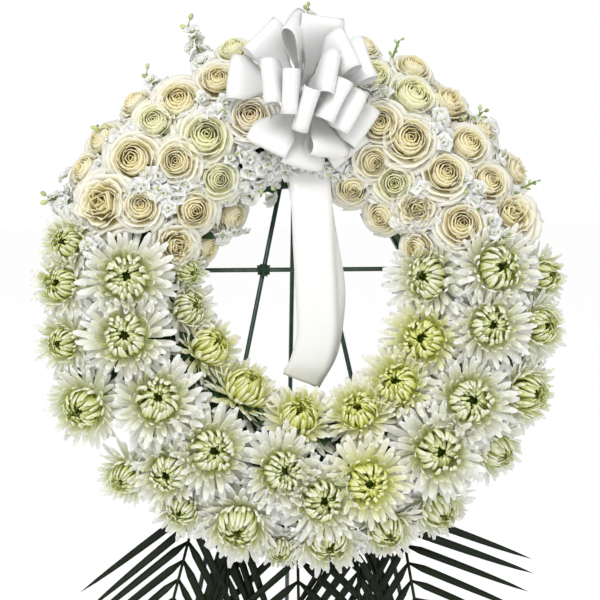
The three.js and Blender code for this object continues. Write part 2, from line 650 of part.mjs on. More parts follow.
function foamRing() {
  return ring([
    [FOAM_INNER, FOAM_BACK],
    [FOAM_OUTER, FOAM_BACK],
    [FOAM_OUTER, FOAM_FRONT - FOAM_CHAMFER],
    [FOAM_OUTER - FOAM_CHAMFER, FOAM_FRONT],
    [FOAM_INNER + FOAM_CHAMFER, FOAM_FRONT],
    [FOAM_INNER, FOAM_FRONT - FOAM_CHAMFER],
  ]);
}

function trayRing() {
  const inner = FOAM_INNER - TOUCH_GAP;
  const outer = FOAM_OUTER + TOUCH_GAP;
  const lip = TRAY_BACK + TRAY_LIP;
  return ring([
    [inner - TRAY_WALL, TRAY_BACK],
    [outer + TRAY_WALL, TRAY_BACK],
    [outer + TRAY_WALL, lip],
    [outer, lip],
    [outer, TRAY_BACK + TRAY_WALL],
    [inner, TRAY_BACK + TRAY_WALL],
    [inner, lip],
    [inner - TRAY_WALL, lip],
  ]);
}
fit("ring_foam", foamRing, FOAM_GREEN);
fit("ring_tray", trayRing, TRAY_GREEN);

// ---- Over the origin, standing on the floor ----
wreath.updateMatrixWorld(true);
const extent = new THREE.Box3().setFromObject(wreath, true);
const middle = extent.getCenter(point(0, 0, 0));
wreath.position.set(-middle.x, -middle.y, -extent.min.z);

export default wreath;
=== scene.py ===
"""A standing funeral wreath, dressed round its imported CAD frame.

The ring, the flowers, the bow and the easel are modelled in wreath space: x to the right, y up the
leaning easel from the wreath's centre and z out towards the front, in metres. WREATH turns that
into the frame's own axes, and every finished piece keeps its place in its mesh.
"""

import math
import random

import bmesh
import bpy
from mathutils import Matrix, Vector


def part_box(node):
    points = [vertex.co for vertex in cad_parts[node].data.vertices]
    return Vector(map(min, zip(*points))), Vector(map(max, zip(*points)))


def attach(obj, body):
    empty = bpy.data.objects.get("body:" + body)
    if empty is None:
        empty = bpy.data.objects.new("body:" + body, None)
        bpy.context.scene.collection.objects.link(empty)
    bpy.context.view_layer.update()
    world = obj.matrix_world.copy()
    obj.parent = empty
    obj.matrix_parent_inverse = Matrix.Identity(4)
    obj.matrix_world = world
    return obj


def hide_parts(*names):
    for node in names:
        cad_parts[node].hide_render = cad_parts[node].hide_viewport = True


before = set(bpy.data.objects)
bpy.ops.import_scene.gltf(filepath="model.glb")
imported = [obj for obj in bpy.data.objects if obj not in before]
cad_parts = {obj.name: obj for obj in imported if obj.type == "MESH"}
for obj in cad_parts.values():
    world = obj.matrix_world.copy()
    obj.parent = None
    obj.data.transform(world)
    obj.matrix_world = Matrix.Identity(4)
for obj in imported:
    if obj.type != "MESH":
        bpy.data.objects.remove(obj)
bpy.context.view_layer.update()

# ---- Driving dimensions, in metres and radians unless a comment says otherwise ----
MM = 0.001
LEAN = math.radians(11)
TRAY_MIDDLE = 16.7 * MM  # of the tray in front of the easel's legs
HEAD_CIRCLE = 228 * MM
HEAD_PLANE = 42 * MM
HEAD_LIFT = 72 * MM
HEAD_SPREAD = 95 * MM
HEAD_TURN = 0.68  # how far a head at the rim turns away from the front, 1 for all the way
HEAD_EDGE = 0.97  # the share of the spread past which heads lean no further
FOAM_INNER = 152 * MM
FOAM_OUTER = 248 * MM
FOAM_FRONT = 66 * MM
FOAM_MIDDLE = 39 * MM
FOAM_CIRCLE = (FOAM_INNER + FOAM_OUTER) / 2
GOLDEN_TURN = math.radians(137.5)
ROOT = "wreath_and_front_frame"
REAR = "rear_leg"

tray_low, tray_high = (Vector(corner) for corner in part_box("ring_tray"))
WREATH = (
    Matrix.Translation((tray_low + tray_high) / 2)
    @ Matrix.Rotation(math.radians(90) - LEAN, 4, "X")
    @ Matrix.Translation((0, 0, -TRAY_MIDDLE))
)

# ---- The camera ----
VIEW_AZIMUTH = math.radians(-4)
VIEW_ELEVATION = math.radians(7.5)
VIEW_DISTANCE = 2.4
VIEW_WIDTH = 0.762  # of what the camera sees at that distance
VIEW_AIM = Vector((0.0005, -0.001, 0.075))  # in wreath space
SENSOR = 36.0  # millimetres

aim = WREATH @ VIEW_AIM
from_aim = Vector(
    (
        math.sin(VIEW_AZIMUTH) * math.cos(VIEW_ELEVATION),
        -math.cos(VIEW_AZIMUTH) * math.cos(VIEW_ELEVATION),
        math.sin(VIEW_ELEVATION),
    )
)
camera = bpy.data.objects.new("camera", bpy.data.cameras.new("camera"))
bpy.context.collection.objects.link(camera)
camera.location = aim + from_aim * VIEW_DISTANCE
camera.rotation_euler = from_aim.to_track_quat("Z", "Y").to_euler()
camera.data.sensor_width = SENSOR
camera.data.lens = SENSOR * VIEW_DISTANCE / VIEW_WIDTH
bpy.context.scene.camera = camera


# ---- Materials ----
def linear(code, alpha=1.0):
    """An sRGB hex colour as Blender's linear one."""
    values = [int(code[i : i + 2], 16) / 255 for i in (1, 3, 5)]
    return [v / 12.92 if v <= 0.04045 else ((v + 0.055) / 1.055) ** 2.4 for v in values] + [alpha]


def add_node(material, kind, inputs=None, **settings):
    """Adds a node to a material or a world, its sockets filled with values or other outputs."""
    made = material.node_tree.nodes.new(kind)
    for name, value in settings.items():
        setattr(made, name, value)
    for socket, value in (inputs or {}).items():
        if isinstance(value, bpy.types.NodeSocket):
            material.node_tree.links.new(value, made.inputs[socket])
        else:
            made.inputs[socket].default_value = value
    return made


def set_stops(ramp, stops):
    """Gives a colour ramp its stops, a list of (position, hex colour)."""
    elements = ramp.color_ramp.elements
    while len(elements) < len(stops):
        elements.new(1.0)
    for element, (position, code) in zip(elements, stops):
        element.position = position
        element.color = linear(code)
    return ramp


def surface(name, base, sockets, bump=None):
    """A material with one Principled shader: `base` is its colour, or makes the colour's socket."""
    material = bpy.data.materials.new(name)
    material.use_nodes = True
    material.node_tree.nodes.clear()
    inputs = dict(sockets)
    inputs["Base Color"] = base(material)
    if bump:
        inputs["Normal"] = bump(material)
    shader = add_node(material, "ShaderNodeBsdfPrincipled", inputs)
    add_node(material, "ShaderNodeOutputMaterial", {"Surface": shader.outputs[0]})
    return material


def toned(stops, mottle, grain):
    """A colour that runs along the piece's tone, broken up by a noise of `grain` metres."""

    def make(material):
        tone = add_node(material, "ShaderNodeAttribute", attribute_name="tone")
        place = add_node(material, "ShaderNodeTexCoord")
        noise = add_node(
            material,
            "ShaderNodeTexNoise",
            {"Vector": place.outputs["Object"], "Scale": 1 / grain, "Detail": 3.0},
        )
        spread = add_node(
            material,
            "ShaderNodeMapRange",
            {0: noise.outputs[0], 1: 0.25, 2: 0.75, 3: -mottle, 4: mottle},
        )
        mixed = add_node(
            material, "ShaderNodeMath", {0: tone.outputs["Fac"], 1: spread.outputs[0]}, operation="ADD"
        )
        ramp = add_node(material, "ShaderNodeValToRGB", {0: mixed.outputs[0]})
        return set_stops(ramp, stops).outputs[0]

    return make


def grained(grain, height, stretch=(1, 1, 1)):
    """A bump from a noise of `grain` metres, `height` metres deep."""

    def make(material):
        place = add_node(material, "ShaderNodeTexCoord")
        sized = add_node(
            material, "ShaderNodeMapping", {"Vector": place.outputs["Object"], "Scale": stretch}
        )
        noise = add_node(
            material,
            "ShaderNodeTexNoise",
            {"Vector": sized.outputs[0], "Scale": 1 / grain, "Detail": 4.0},
        )
        bump = add_node(
            material, "ShaderNodeBump", {"Height": noise.outputs[0], "Strength": 1.0, "Distance": height}
        )
        return bump.outputs[0]

    return make


# Chrysanthemum petal: thin and matt, white with a yellow-green heart that glows through.
PETAL_GLOW = {"Subsurface Weight": 0.35, "Subsurface Radius": (0.9, 1.0, 0.6)}
CHRYSANTHEMUM_SKIN = {
    "Roughness": 0.55,
    "Specular IOR Level": 0.35,
    "Subsurface Scale": 3 * MM,
    **PETAL_GLOW,
}
CHRYSANTHEMUM = surface(
    "chrysanthemum_petal",
    toned(
        [(0.0, "#4F661A"), (0.18, "#A3B83E"), (0.4, "#DDE58E"), (0.7, "#F4F6DC"), (1.0, "#FBFBF8")],
        0.05,
        9 * MM,
    ),
    CHRYSANTHEMUM_SKIN,
    grained(1.2 * MM, 0.05 * MM),
)
# The same petal, brighter and yellower, on the heads round the hole: painted light, a sunlit copy of the
# white petal.
CHRYSANTHEMUM_YELLOW_PAINTED_SUNLIT = surface(
    "chrysanthemum_petal_yellow_painted_sunlit",
    toned(
        [(0.0, "#7A9420"), (0.2, "#CFDA45"), (0.5, "#ECF08C"), (0.8, "#F8F9D2"), (1.0, "#FCFCF0")],
        0.05,
        9 * MM,
    ),
    CHRYSANTHEMUM_SKIN,
    grained(1.2 * MM, 0.05 * MM),
)
# Rose petal: velvety and waxy, cream that warms where light comes through it. Its ramp's golden low end
# colours the petals' feet, partly painted shade.
ROSE_SKIN = {
    "Roughness": 0.5,
    "Sheen Weight": 0.1,
    "Subsurface Weight": 0.35,
    "Subsurface Radius": (1.0, 0.85, 0.45),
    "Subsurface Scale": 4 * MM,
}
ROSE = surface(
    "rose_petal",
    toned([(0.0, "#DCB24A"), (0.3, "#ECD685"), (0.65, "#F7ECBC"), (1.0, "#FBF7E2")], 0.06, 22 * MM),
    ROSE_SKIN,
    grained(0.9 * MM, 0.03 * MM),
)
# The same petals on greener and on golden-hearted roses.
ROSE_YELLOW = surface(
    "rose_petal_yellow",
    toned([(0.0, "#D2C45A"), (0.3, "#ECE898"), (0.65, "#F6F4C4"), (1.0, "#FAF9DE")], 0.06, 22 * MM),
    ROSE_SKIN,
    grained(0.9 * MM, 0.03 * MM),
)
ROSE_GOLD = surface(
    "rose_petal_gold",
    toned(
        [(0.0, "#A9652A"), (0.3, "#D9A45C"), (0.5, "#F3DFA8"), (0.7, "#FBF3D8"), (1.0, "#FDFAEA")],
        0.05,
        22 * MM,
    ),
    ROSE_SKIN,
    grained(0.9 * MM, 0.03 * MM),
)
# Larkspur and stock petal: papery and white, with green at its heart.
LARKSPUR = surface(
    "larkspur_petal",
    toned([(0.0, "#7F9A45"), (0.3, "#D3DDAA"), (0.6, "#F0F2E4"), (1.0, "#F8F9F5")], 0.06, 8 * MM),
    {"Roughness": 0.6, "Subsurface Scale": 2 * MM, **PETAL_GLOW},
    grained(0.8 * MM, 0.04 * MM),
)
# Stem and bud: fresh green, slightly waxy.
STEM = surface(
    "green_stem",
    toned([(0.0, "#4E6A2B"), (0.5, "#7C9A45"), (1.0, "#C7D593")], 0.15, 6 * MM),
    {"Roughness": 0.5},
    grained(0.7 * MM, 0.05 * MM),
)
# Leatherleaf fern: dark, tough and a little glossy.
FERN = surface(
    "leatherleaf",
    toned([(0.0, "#17300F"), (0.5, "#264A1C"), (1.0, "#3C6A2C")], 0.2, 7 * MM),
    {"Roughness": 0.42},
    grained(1.0 * MM, 0.1 * MM),
)
# Palm leaflet: very dark green with a wax gloss.
PALM = surface(
    "palm_leaflet",
    toned([(0.0, "#070E03"), (0.5, "#0F1B08"), (1.0, "#1E2F10")], 0.2, 18 * MM),
    {"Roughness": 0.45, "Specular IOR Level": 0.22},
    grained(0.9 * MM, 0.05 * MM, (1, 1, 0.1)),
)
# Collar leaf: the chrysanthemums' own leaves, dark and matt, that hide the foam.
LEAF = surface(
    "collar_leaf",
    toned([(0.0, "#12240E"), (0.5, "#1E3A16"), (1.0, "#345A26")], 0.2, 9 * MM),
    {"Roughness": 0.55, "Specular IOR Level": 0.3},
    grained(1.5 * MM, 0.15 * MM),
)
# Acetate satin ribbon: bright white with a long soft gloss.
SATIN = surface(
    "acetate_satin",
    lambda material: linear("#F0F0EF"),
    {
        "Roughness": 0.32,
        "Specular IOR Level": 0.7,
        "Coat Weight": 0.35,
        "Coat Roughness": 0.18,
        "Subsurface Weight": 0.06,
        "Subsurface Scale": 1 * MM,
    },
    grained(0.5 * MM, 0.01 * MM),
)
# Enamelled steel wire: dark green paint over bright wire, with small runs.
ENAMEL = surface(
    "green_enamel_wire",
    toned([(0.0, "#122A1F"), (0.5, "#1D3B2C"), (1.0, "#33594A")], 0.3, 12 * MM),
    {"Roughness": 0.32, "Metallic": 0.0, "Coat Weight": 0.4, "Coat Roughness": 0.2},
    grained(3 * MM, 0.15 * MM),
)
# Moulded polypropylene tray: dull green plastic.
TRAY = surface(
    "moulded_tray",
    toned([(0.0, "#1C3A20"), (1.0, "#2F5A34")], 0.3, 30 * MM),
    {"Roughness": 0.5},
    grained(0.8 * MM, 0.06 * MM),
)
# Wet floral foam: fine-celled, crumbly and matt.
FOAM = surface(
    "wet_floral_foam",
    toned([(0.0, "#1D3617"), (1.0, "#3E6A37")], 0.4, 3 * MM),
    {"Roughness": 0.95},
    grained(1.0 * MM, 0.5 * MM),
)
# Nylon: dark green and smooth, as the ties themselves and as the coat of the binding wire.
TIE = surface(
    "nylon_tie",
    toned([(0.0, "#16301B"), (1.0, "#28482E")], 0.2, 6 * MM),
    {"Roughness": 0.4},
    grained(1.0 * MM, 0.05 * MM),
)


# ---- Shaping ----
WELD = 1e-6  # points closer than this become one
STEP = 1e-3  # the stretch of a route that shows which way it runs
PLAIN_TONE = 0.5
FRONT = Vector((0, 0, 1))
STEM_SLOT = 1  # in every flower's materials


def as_mesh(name, bm):
    """The mesh that a finished bmesh holds."""
    mesh = bpy.data.meshes.new(name)
    bm.to_mesh(mesh)
    bm.free()
    return mesh


def stray(rng, most):
    """A random vector, no longer than `most` along each axis."""
    return Vector([rng.uniform(-most, most) for _ in range(3)])


def sheet_mesh(name, columns, rows, place, tone, thickness, slot=0):
    """A thin leaf: `place` and `tone` read u from -1 to 1 across it and v from 0 to 1 along it."""
    bm = bmesh.new()
    layer = bm.verts.layers.float.new("tone")
    bmesh.ops.create_grid(bm, x_segments=columns, y_segments=rows, size=0.5)
    for vert in bm.verts:
        u, v = 2 * vert.co.x, vert.co.y + 0.5
        vert[layer] = tone(u, v)
        vert.co = place(u, v)
    bmesh.ops.remove_doubles(bm, verts=bm.verts, dist=WELD)
    bmesh.ops.solidify(bm, geom=bm.faces[:], thickness=thickness)
    for face in bm.faces:
        face.smooth = True
        face.material_index = slot
    return as_mesh(name, bm)


class Piece:
    """A piece under construction: copies of small meshes gathered into one."""

    def __init__(self):
        self.bm = bmesh.new()
        self.bm.verts.layers.float.new("tone")

    def put(self, mesh, matrix):
        """Adds a copy of `mesh` at `matrix` in wreath space."""
        copy = mesh.copy()
        copy.transform(WREATH @ matrix)
        self.bm.from_mesh(copy)
        bpy.data.meshes.remove(copy)

    def rod(self, start, end, radius, slot=0, sides=8, tone=PLAIN_TONE):
        """Adds a round rod from one wreath-space point to another."""
        layer = self.bm.verts.layers.float["tone"]
        along = end - start
        matrix = Matrix.Translation((start + end) / 2) @ along.to_track_quat("Z", "Y").to_matrix().to_4x4()
        made = bmesh.ops.create_cone(
            self.bm,
            cap_ends=True,
            segments=sides,
            radius1=radius,
            radius2=radius,
            depth=along.length,
            matrix=WREATH @ matrix,
        )
        for vert in made["verts"]:
            vert[layer] = tone
            for face in vert.link_faces:
                face.material_index = slot
                face.smooth = len(face.verts) == 4

    def ball(self, centre, radii, turn, tone, slot=0, detail=2):
        """Adds a small ellipsoid."""
        layer = self.bm.verts.layers.float["tone"]
        matrix = WREATH @ Matrix.Translation(centre) @ turn.to_4x4() @ Matrix.Diagonal((*radii, 1))
        made = bmesh.ops.create_icosphere(self.bm, subdivisions=detail, radius=1, matrix=matrix)
        for vert in made["verts"]:
            vert[layer] = tone
            for face in vert.link_faces:
                face.material_index = slot
                face.smooth = True

    def finish(self, name, materials, body=ROOT, nodes=()):
        """Makes the piece an object that rides on a body and stands for its CAD nodes."""
        mesh = as_mesh(name, self.bm)
        for material in materials:
            mesh.materials.append(material)
        made = bpy.data.objects.new(name, mesh)
        bpy.context.collection.objects.link(made)
        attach(made, body)
        if nodes:
            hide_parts(*nodes)
        return made


def on_wreath(clock, reach, front):
    """A wreath-space point by clock angle (degrees, 0 at the top), reach and z."""
    angle = math.radians(clock)
    return Vector((reach * math.sin(angle), reach * math.cos(angle), front))


def facing(centre, direction, spin=0.0):
    """A matrix that stands a flower at a point with its +Z axis along a direction."""
    turn = direction.to_track_quat("Z", "Y").to_matrix().to_4x4()
    return Matrix.Translation(centre) @ turn @ Matrix.Rotation(spin, 4, "Z")


def head_place(clock, reach):
    """Where a flower head stands on the wreath, and which way it faces."""
    share = max(-HEAD_EDGE, min(HEAD_EDGE, (reach - HEAD_CIRCLE) / HEAD_SPREAD))
    rise = math.sqrt(1 - share * share)
    centre = on_wreath(clock, reach, HEAD_PLANE + HEAD_LIFT * rise)
    outward = on_wreath(clock, HEAD_TURN * share, rise + 1 - HEAD_TURN)
    return centre, outward.normalized()


# ---- Chrysanthemums ----
# Each row of petals from the heart out: how many, how far from the axis it stands, its length, the
# angles from the axis at which it leaves the heart and at which it ends (degrees), its width, its
# tone at foot and tip. Lengths are shares of the head's radius.
CHRYSANTHEMUM_ROWS = [
    (12, 0.05, 0.50, 20, 2, 0.055, 0.0, 0.26),
    (20, 0.13, 0.66, 38, -42, 0.065, 0.04, 0.42),
    (28, 0.17, 0.80, 56, -62, 0.072, 0.10, 0.56),
    (32, 0.16, 0.88, 70, -50, 0.082, 0.18, 0.70),
    (28, 0.13, 0.84, 78, -4, 0.10, 0.28, 0.84),
    (28, 0.10, 0.90, 84, 34, 0.125, 0.42, 0.93),
    (30, 0.08, 0.97, 92, 62, 0.14, 0.56, 0.98),
    (30, 0.06, 1.03, 104, 86, 0.15, 0.62, 1.0),
]
INCURVED_ROWS = 5  # that close over the heart
INCURVED_FACES, SPREAD_FACES = 5, 4  # along a petal; one that closes over bends more
INCURVED_STRAY, SPREAD_STRAY = 0.13, 0.19  # radians that a petal strays from its row
CHRYSANTHEMUM_LEAN = 0.12  # of a head, off its place on the wreath
CHRYSANTHEMUM_HEART = 0.16  # of a head's radius, for the green ball at its heart
CHRYSANTHEMUM_FOOT = -0.27  # of every petal, behind the head's middle
PETAL_CUP = 0.55
CHRYSANTHEMUM_THICK = 0.008
GREEN_HEAD = 0.07  # how much greener a half-open head's petals are
# The yellow kind takes slot 2, the painted sunlit copy of the petal.
HEAD_KINDS = {"white": (0.0, 0), "green": (GREEN_HEAD, 0), "yellow": (0.0, 2)}


def spoon(along):
    """The width of a spoon-shaped petal with a round tip, at a share of its length."""
    tip = max(0, along - 0.75) / 0.27
    return (0.45 + 0.75 * min(along, 0.75)) * math.sqrt(1 - tip * tip)


def bent_petal(row, rows, kind):
    """A petal that leaves the heart at one angle from the axis and bends evenly to another."""
    _, foot, length, start, end, width, base, tip = row
    greener, slot = HEAD_KINDS[kind]
    start, end = math.radians(start), math.radians(end)
    bend = (end - start) / length

    def place(u, v):
        along = 1 - (1 - v) ** 1.5
        angle = start + (end - start) * along
        half = 0.5 * width * spoon(along)
        cup = PETAL_CUP * half * u * u
        out = foot + (math.cos(start) - math.cos(angle)) / bend - cup * math.cos(angle)
        up = CHRYSANTHEMUM_FOOT + (math.sin(angle) - math.sin(start)) / bend + cup * math.sin(angle)
        return Vector((u * half, out, up))

    def tone(u, v):
        return base + (tip - base) * min(1, 1.25 * v) - 0.05 * (1 - abs(u)) - greener

    return sheet_mesh("petal", 2, rows, place, tone, CHRYSANTHEMUM_THICK, slot)


CHRYSANTHEMUM_PETALS = {
    kind: [
        bent_petal(row, INCURVED_FACES if i < INCURVED_ROWS else SPREAD_FACES, kind)
        for i, row in enumerate(CHRYSANTHEMUM_ROWS)
    ]
    for kind in HEAD_KINDS
}
FULL_HEAD = 126 * MM  # a smaller head has fewer petals in each row
PRESSED_HEAD = 110 * MM  # a head under this size is pressed open among its neighbours
PRESSED_SPREAD = 1.14


def chrysanthemum(piece, centre, direction, diameter, kind, rng):
    """A disbudded chrysanthemum: petals close over a green heart and spread wide behind it."""
    radius = diameter / 2 * (PRESSED_SPREAD if diameter < PRESSED_HEAD else 1)
    lean = stray(rng, CHRYSANTHEMUM_LEAN)
    stand = facing(centre, (direction + lean).normalized(), rng.uniform(0, math.tau))
    stand = stand @ Matrix.Scale(radius, 4)
    full = min(1, 0.45 + 0.55 * diameter / FULL_HEAD)
    for i, (row, petal) in enumerate(zip(CHRYSANTHEMUM_ROWS, CHRYSANTHEMUM_PETALS[kind])):
        number = round(row[0] * full)
        loose = INCURVED_STRAY if i < INCURVED_ROWS else SPREAD_STRAY
        for k in range(number):
            around = math.tau * (k + rng.uniform(-0.35, 0.35)) / number
            piece.put(
                petal,
                stand
                @ Matrix.Rotation(around, 4, "Z")
                @ Matrix.Rotation(rng.uniform(-loose, loose), 4, "X")
                @ Matrix.Rotation(rng.uniform(-1.2 * loose, 1.2 * loose), 4, "Y")
                @ Matrix.Scale(rng.uniform(0.84, 1.06), 4),
            )
    eye = CHRYSANTHEMUM_HEART * radius
    turn = direction.to_track_quat("Z", "Y").to_matrix()
    piece.ball(stand @ Vector((0, 0, -0.05)), (eye,) * 3, turn, 0.0, detail=1)


# ---- Roses ----
# Each layer from the heart out: petals, radius at the rim, height of the rim, how far the rim
# opens, the angle that a petal wraps (degrees) and its tone, in heads of unit radius. The tone
# is lower towards the heart: a warmer heart colour and painted shade deep in the flower.
ROSE_SHAPES = {
    "round": [
        (3, 0.07, 0.38, -0.50, 230, 0.42),
        (3, 0.16, 0.41, -0.42, 190, 0.48),
        (3, 0.27, 0.41, -0.34, 170, 0.54),
        (4, 0.39, 0.38, -0.22, 145, 0.60),
        (4, 0.52, 0.32, -0.04, 130, 0.70),
        (5, 0.68, 0.22, 0.16, 112, 0.82),
        (5, 0.85, 0.06, 0.26, 104, 0.90),
        (6, 1.00, -0.12, 0.32, 92, 0.96),
    ],
    "open": [
        (3, 0.09, 0.30, -0.36, 220, 0.44),
        (3, 0.21, 0.34, -0.20, 180, 0.52),
        (4, 0.35, 0.34, -0.02, 150, 0.62),
        (4, 0.50, 0.30, 0.14, 130, 0.72),
        (5, 0.66, 0.22, 0.24, 112, 0.82),
        (5, 0.83, 0.10, 0.32, 102, 0.90),
        (6, 0.98, -0.06, 0.36, 92, 0.96),
    ],
}
ROSE_DEPTH = 0.74
ROSE_THICK = 0.012
ROSE_LEAN = 0.16  # of a head, off its place on the wreath
HEART_RADIUS = 0.3  # petals inside it are small, so they have fewer faces
RUFFLES = {"round": 0.022, "open": 0.085}


def rose_petal(radius, rim, opening, wrap, tone, ruffle, slot):
    """A cupped petal that wraps round the flower's +Z axis, one edge tucked under its neighbour."""

    def place(u, v):
        angle = 0.5 * wrap * u * (0.6 + 0.4 * math.sin(0.5 * math.pi * v))
        rolled = max(0, v - 0.6) / 0.4
        if opening < 0:
            belly = 1 - 0.9 * opening
            swell = 0.25 + (belly - 0.25) * math.sin(0.5 * math.pi * min(1, 1.7 * v))
            out = radius * (swell + (1 - belly) * rolled * rolled)
        else:
            out = radius * (0.16 + 0.84 * math.sin(0.5 * math.pi * min(1, 1.25 * v)) ** 0.8)
            out += radius * opening * rolled * rolled * (0.75 + 0.25 * u * u)
        out = (out + 0.018) * (1 + 0.07 * u)
        height = -ROSE_DEPTH + (rim + ROSE_DEPTH) * v * (1 - 0.13 * abs(u) ** 2.6)
        height -= max(0, opening) * rolled**3 * (0.42 + 0.35 * u * u)
        height += ruffle * v**3 * math.sin(5.5 * u + 9 * radius)
        out += ruffle * v**3 * math.cos(6.5 * u + 5 * radius)
        return Vector((out * math.sin(angle), out * math.cos(angle), height))

    # Painted light: each petal darkens and warms towards its foot, deep in the flower, a warm heart colour
    # and painted shade, and the end of its length is lifted at the rim as a painted highlight.
    def shade(u, v):
        return tone * (0.35 + 0.65 * min(1, 1.3 * v)) + 0.12 * v**6

    columns, rows = (4, 6) if radius < HEART_RADIUS else (6, 8)
    return sheet_mesh("petal", columns, rows, place, shade, ROSE_THICK, slot)


ROSE_KINDS = {"ivory": 0, "yellow": 2, "gold": 3}
ROSE_PETALS = {
    (shape, kind): [
        rose_petal(radius, rim, opening, math.radians(wrap), tone, RUFFLES[shape], slot)
        for _, radius, rim, opening, wrap, tone in layers
    ]
    for shape, layers in ROSE_SHAPES.items()
    for kind, slot in ROSE_KINDS.items()
}


def rose(piece, centre, direction, diameter, kind, rng):
    """A garden rose: a dome of overlapping heart petals in wider and wider cupped ones."""
    shape = kind[0]
    lean = stray(rng, ROSE_LEAN)
    stand = facing(centre, (direction + lean).normalized(), rng.uniform(0, math.tau))
    stand = stand @ Matrix.Scale(diameter / 2, 4)
    start = 0.0
    for layer, petal in zip(ROSE_SHAPES[shape], ROSE_PETALS[kind]):
        count = layer[0]
        start += rng.uniform(0.5, 1.3)
        for i in range(count):
            around = start + math.tau * (i + rng.uniform(-0.13, 0.13)) / count
            lift = Matrix.Translation((0, 0, rng.uniform(-0.025, 0.025)))
            tilt = Matrix.Rotation(rng.uniform(-0.07, 0.05), 4, "X")
            piece.put(petal, stand @ Matrix.Rotation(around, 4, "Z") @ lift @ tilt)


# The planting plan: each flower's clock angle (degrees), reach from the wreath's centre and
# diameter (millimetres), a row to a bunch. A rose that isn't round and ivory says what it is.
# A chrysanthemum marked yellow gets the painted sunlit copy of the petal.
CHRYSANTHEMUMS = {
    "01": [(-83, 219, 126), (-76, 300, 78, "green"), (-86, 300, 82, "green"), (-100, 302, 78, "green")],
    "02": [(-76, 146, 58, "green"), (-94, 142, 82), (-117, 130, 96, "yellow")],
    "03": [(-102, 225, 124), (-116, 303, 96, "green"), (-125, 221, 124)],
    "04": [(-149, 222, 124), (-135, 312, 78, "green"), (-150, 303, 78), (-142, 274, 92)],
    "05": [(-148, 133, 100, "yellow"), (-179, 149, 92, "yellow"), (-207, 161, 92, "yellow")],
    "06": [(-173, 218, 114), (-164, 294, 106), (-175, 317, 64)],
    "07": [(175, 254, 100), (161, 245, 102, "yellow"), (174, 306, 96), (160, 311, 86)],
    "08": [(139, 257, 130), (132, 163, 96, "yellow"), (147, 319, 92)],
    "09": [(122, 248, 124), (128, 315, 86), (113, 313, 96, "green")],
    "10": [(99, 241, 114), (109, 164, 114, "yellow"), (81, 164, 106)],
    "11": [(82, 250, 124), (97, 308, 86, "green"), (85, 316, 78, "green")],
}
OPEN = ("open", "ivory")
YELLOW = ("round", "yellow")
GOLD = ("round", "gold")
ROSES = {
    "01": [(-64, 276, 74, OPEN), (-58, 319, 52), (-60, 231, 52)],
    "02": [(-42, 231, 54), (-50, 273, 68), (-50, 324, 54)],
    "03": [(-30, 235, 66, YELLOW), (-39, 289, 54, YELLOW), (-31, 293, 66), (-39, 329, 44)],
    "04": [(-15, 236, 62, GOLD), (-20, 297, 52), (-14, 335, 44, YELLOW)],
    "05": [(-67, 169, 54, OPEN), (-60, 135, 44), (-50, 174, 58)],
    "06": [(-34, 181, 50, YELLOW), (-38, 135, 48)],
    "07": [(25, 243, 54), (19, 303, 52, YELLOW), (15, 341, 44), (30, 297, 68, YELLOW), (27, 338, 48)],
    "08": [(35, 243, 68), (38, 322, 68, OPEN), (48, 326, 44), (48, 292, 58)],
    "09": [(66, 223, 62), (50, 241, 60), (59, 283, 54), (60, 328, 52, OPEN), (69, 290, 68, OPEN)],
    "10": [(53, 185, 56, OPEN), (67, 160, 44), (45, 150, 50)],
    "11": [(40, 187, 52, YELLOW), (29, 194, 44), (26, 156, 52)],
}
ROSE_MATERIALS = [ROSE, STEM, ROSE_YELLOW, ROSE_GOLD]
STEM_RADIUS = 2.5 * MM
BUNCH_STEM = 1.3 * STEM_RADIUS
BUNCH_RISE = 5 * MM  # in front of the foam, where a bunch's stems meet


def bunch(name, plan, flower, usual, materials, seed):
    """A bunch of flowers, most of the usual kind, whose stems meet on one pick in the foam."""
    rng = random.Random(seed)
    piece = Piece()
    middle = sum(entry[0] for entry in plan) / len(plan)
    root = on_wreath(middle, FOAM_CIRCLE, FOAM_FRONT + BUNCH_RISE)
    piece.rod(on_wreath(middle, FOAM_CIRCLE, FOAM_MIDDLE), root, BUNCH_STEM, STEM_SLOT)
    for clock, reach, diameter, *other in plan:
        centre, direction = head_place(clock, reach * MM)
        piece.rod(root, centre, STEM_RADIUS, STEM_SLOT)
        kind = other[0] if other else usual
        flower(piece, centre, direction, diameter * MM, kind, rng)
    return piece.finish(f"{name}_petals", materials, nodes=[name])


for seed, (row, plan) in enumerate(CHRYSANTHEMUMS.items()):
    name = f"chrysanthemums_{row}"
    materials = [CHRYSANTHEMUM, STEM, CHRYSANTHEMUM_YELLOW_PAINTED_SUNLIT]
    bunch(name, plan, chrysanthemum, "white", materials, 100 + seed)
for seed, (row, plan) in enumerate(ROSES.items()):
    bunch(f"roses_{row}", plan, rose, ("round", "ivory"), ROSE_MATERIALS, 200 + seed)


# ---- Florets: larkspur, stock and the buds above them ----
def floret_petal():
    """A broad, slightly frilled petal of a floret of unit radius, growing along +Y."""

    def place(u, v):
        half = 0.52 * math.sin(math.pi * min(1, 0.12 + 0.80 * v)) ** 0.75
        frill = 0.05 * v * v * math.sin(7 * u)
        out = 0.06 + 0.94 * v - 0.12 * v * v * u * u
        return Vector((u * half, out, 0.30 * v - 0.34 * v**3 + frill + 0.22 * u * u))

    return sheet_mesh("petal", 2, 4, place, lambda u, v: 0.1 + 1.3 * v, 0.02)


FLORET_PETAL = floret_petal()
FLORET_MATERIALS = [LARKSPUR, STEM]
FLORET_WHORLS = ((5, 1.0, 0.15), (4, 0.62, 0.75))  # petals, their size and their tilt in radians
FLORET_EYE = 0.12  # of a floret's radius


